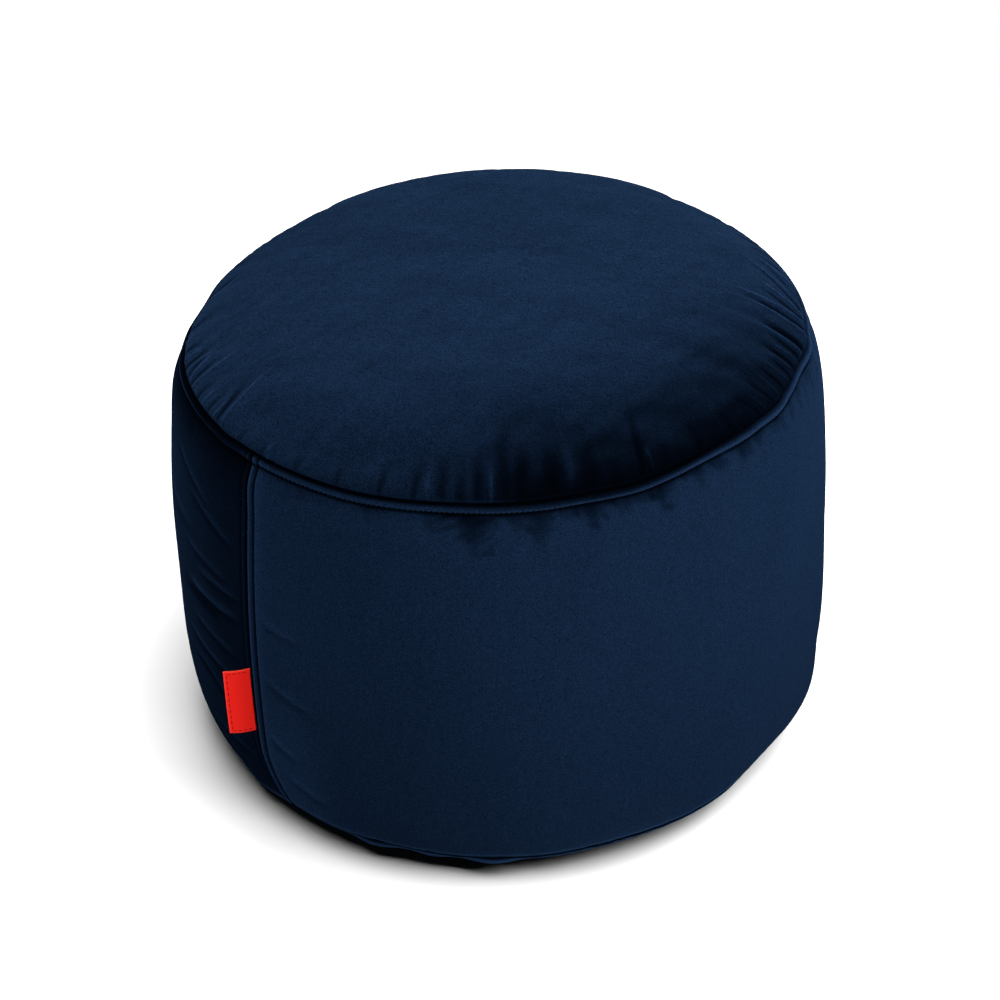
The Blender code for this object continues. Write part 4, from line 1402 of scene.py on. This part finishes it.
def red_tape():
    """Red woven tape, paler along its edges."""
    shade = Shade(bpy.data.materials.new("red_tape"))
    weave = shade.noise(WEAVE_SCALE, 2.0, 0.6, PLAIN_STROKE)
    plain = shade.blend(weave, RED_TAPE_DARK, RED_TAPE_LIGHT)
    shade.set({
        "Base Color": shade.blend(shade.nap(), plain, RED_TAPE_EDGE),
        "Roughness": 0.8,
        "Specular IOR Level": 0.1,
        "Normal": shade.bump(weave, WEAVE_BUMP, 0.4),
    })
    return shade.owner


def thread(name, colour):
    """Sewing thread."""
    shade = Shade(bpy.data.materials.new(name))
    shade.set({"Base Color": colour, "Roughness": 0.8, "Specular IOR Level": 0.05})
    return shade.owner


# ---------------------------------------------------------------- camera, floor and light

VIEW_ELEVATION = math.radians(35.45)
VIEW_DISTANCE = 1.8
VIEW_TARGET = Vector((-0.0018, 0.0, 0.174))
VIEW_LENS = 83.84


def make_camera():
    """The camera at the front, above the pouf."""
    data = bpy.data.cameras.new("camera")
    data.lens = VIEW_LENS
    camera = link("camera", data)
    back = Vector((0.0, -math.cos(VIEW_ELEVATION), math.sin(VIEW_ELEVATION)))
    camera.location = VIEW_TARGET + back * VIEW_DISTANCE
    camera.rotation_euler = (math.pi / 2.0 - VIEW_ELEVATION, 0.0, 0.0)
    bpy.context.scene.camera = camera


SoftBox = namedtuple("SoftBox", "name place aim width height watts lights_floor")
SOFT_BOXES = (
    SoftBox("back_light", (-0.3, 1.5, 2.0), (0.0, 0.0, 0.25), 2.4, 1.6, 108.0, False),
    SoftBox("right_light", (1.9, -0.9, 1.1), (0.0, 0.0, 0.2), 0.9, 1.4, 82.0, False),
    SoftBox("front_light", (-1.9, -1.7, 1.1), (0.0, 0.0, 0.2), 1.4, 0.8, 56.0, False),
    SoftBox("floor_light", (0.53, -0.03, 1.9), (0.0, 0.0, 0.0), 2.8, 2.8, 1600.0, True),
)
SURROUND_STRENGTH = 0.04
FLOOR_SIZE = 8.0
FLOOR_TONE = 0.1
FLOOR_BOUNCE = 0.0125
FLOOR_FADE = (0.55, 1.3)


def lit_only(light, pieces):
    """Lets a light fall on some pieces only."""
    pieces_lit = bpy.data.collections.new(light.name + "_pieces")
    for piece in pieces:
        pieces_lit.objects.link(piece)
    light.light_linking.receiver_collection = pieces_lit


def make_lights(pieces, floor):
    """Soft boxes, three on the pouf and one on the floor, and a dim, even surround."""
    for box in SOFT_BOXES:
        data = bpy.data.lights.new(box.name, "AREA")
        data.shape = "RECTANGLE"
        data.size = box.width
        data.size_y = box.height
        data.energy = box.watts
        light = link(box.name, data)
        light.location = box.place
        towards = Vector(box.aim) - Vector(box.place)
        light.rotation_euler = towards.to_track_quat("-Z", "Y").to_euler()
        lit_only(light, [floor] if box.lights_floor else pieces)
    shade = Shade(bpy.data.worlds.new("surround"))
    strength = SURROUND_STRENGTH + (1.0 - SURROUND_STRENGTH) * shade.seen()
    shade.fill(shade.tree.nodes["Background"], {"Color": grey(1.0), "Strength": strength})
    bpy.context.scene.world = shade.owner


def white_floor():
    """White where the camera sees it, run into the white backdrop, and dark to the velvet."""
    shade = Shade(bpy.data.materials.new("white_floor"))
    shade.tree.nodes.remove(shade.tree.nodes["Principled BSDF"])
    tone = shade.blend(shade.seen(), grey(FLOOR_BOUNCE), grey(FLOOR_TONE))
    near = shade.node("ShaderNodeBsdfDiffuse", {}, {"Color": tone})
    place = shade.node("ShaderNodeTexCoord").outputs["Object"]
    distance = shade.node("ShaderNodeVectorMath", {"operation": "LENGTH"}, {0: place})
    away = shade.node(
        "ShaderNodeMapRange",
        {"interpolation_type": "SMOOTHSTEP"},
        {"Value": distance.outputs["Value"], "From Min": FLOOR_FADE[0], "From Max": FLOOR_FADE[1]},
    )
    backdrop = shade.node("ShaderNodeEmission")
    seen_away = shade.value(away, "Result") * shade.seen()
    shade.mix(seen_away, near.outputs["BSDF"], backdrop.outputs["Emission"])
    return shade.owner


def make_floor():
    """A plain floor, just under the pouf."""
    plan = bmesh.new()
    below = Matrix.Translation((0.0, 0.0, -SEAM_GAP))
    bmesh.ops.create_grid(plan, x_segments=1, y_segments=1, size=FLOOR_SIZE, matrix=below)
    mesh = mesh_from(plan, "floor")
    mesh.materials.append(white_floor())
    floor = link("floor", mesh)
    return floor


# ---------------------------------------------------------------- the pouf


def build():
    """Makes every piece, fixes it to the pouf's body in place of its solid, and lights the scene."""
    make_camera()
    bpy.context.scene.view_settings.view_transform = "Standard"

    crown_velvet = velvet("crown_velvet", CROWN_PILE)
    wall_velvet = velvet("wall_velvet", WALL_PILE)
    navy_thread = thread("navy_thread", NAVY_THREAD)

    crown = make_crown(crown_velvet)
    wall = make_wall(wall_velvet)
    rib = make_rib(wall_velvet)
    base = make_base(wall_velvet)
    hem = make_hem(wall_velvet)
    tab = make_tab(red_tape())
    wall_stitches = make_wall_stitches(navy_thread)
    rib_stitches = make_rib_stitches(navy_thread)
    tab_stitches = make_tab_stitches(thread("red_thread", RED_THREAD))

    for piece, node in ((crown, "top_panel"), (wall, "side_panel"), (base, "base_panel")):
        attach(piece, "root")
        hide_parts(node)
    for sewn in (rib, hem, wall_stitches, rib_stitches):
        sewn.parent = wall
    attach(tab, "root")
    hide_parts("tab")
    tab_stitches.parent = tab
    pieces = [crown, wall, rib, hem, base, tab, wall_stitches, rib_stitches, tab_stitches]
    make_lights(pieces, make_floor())


build()
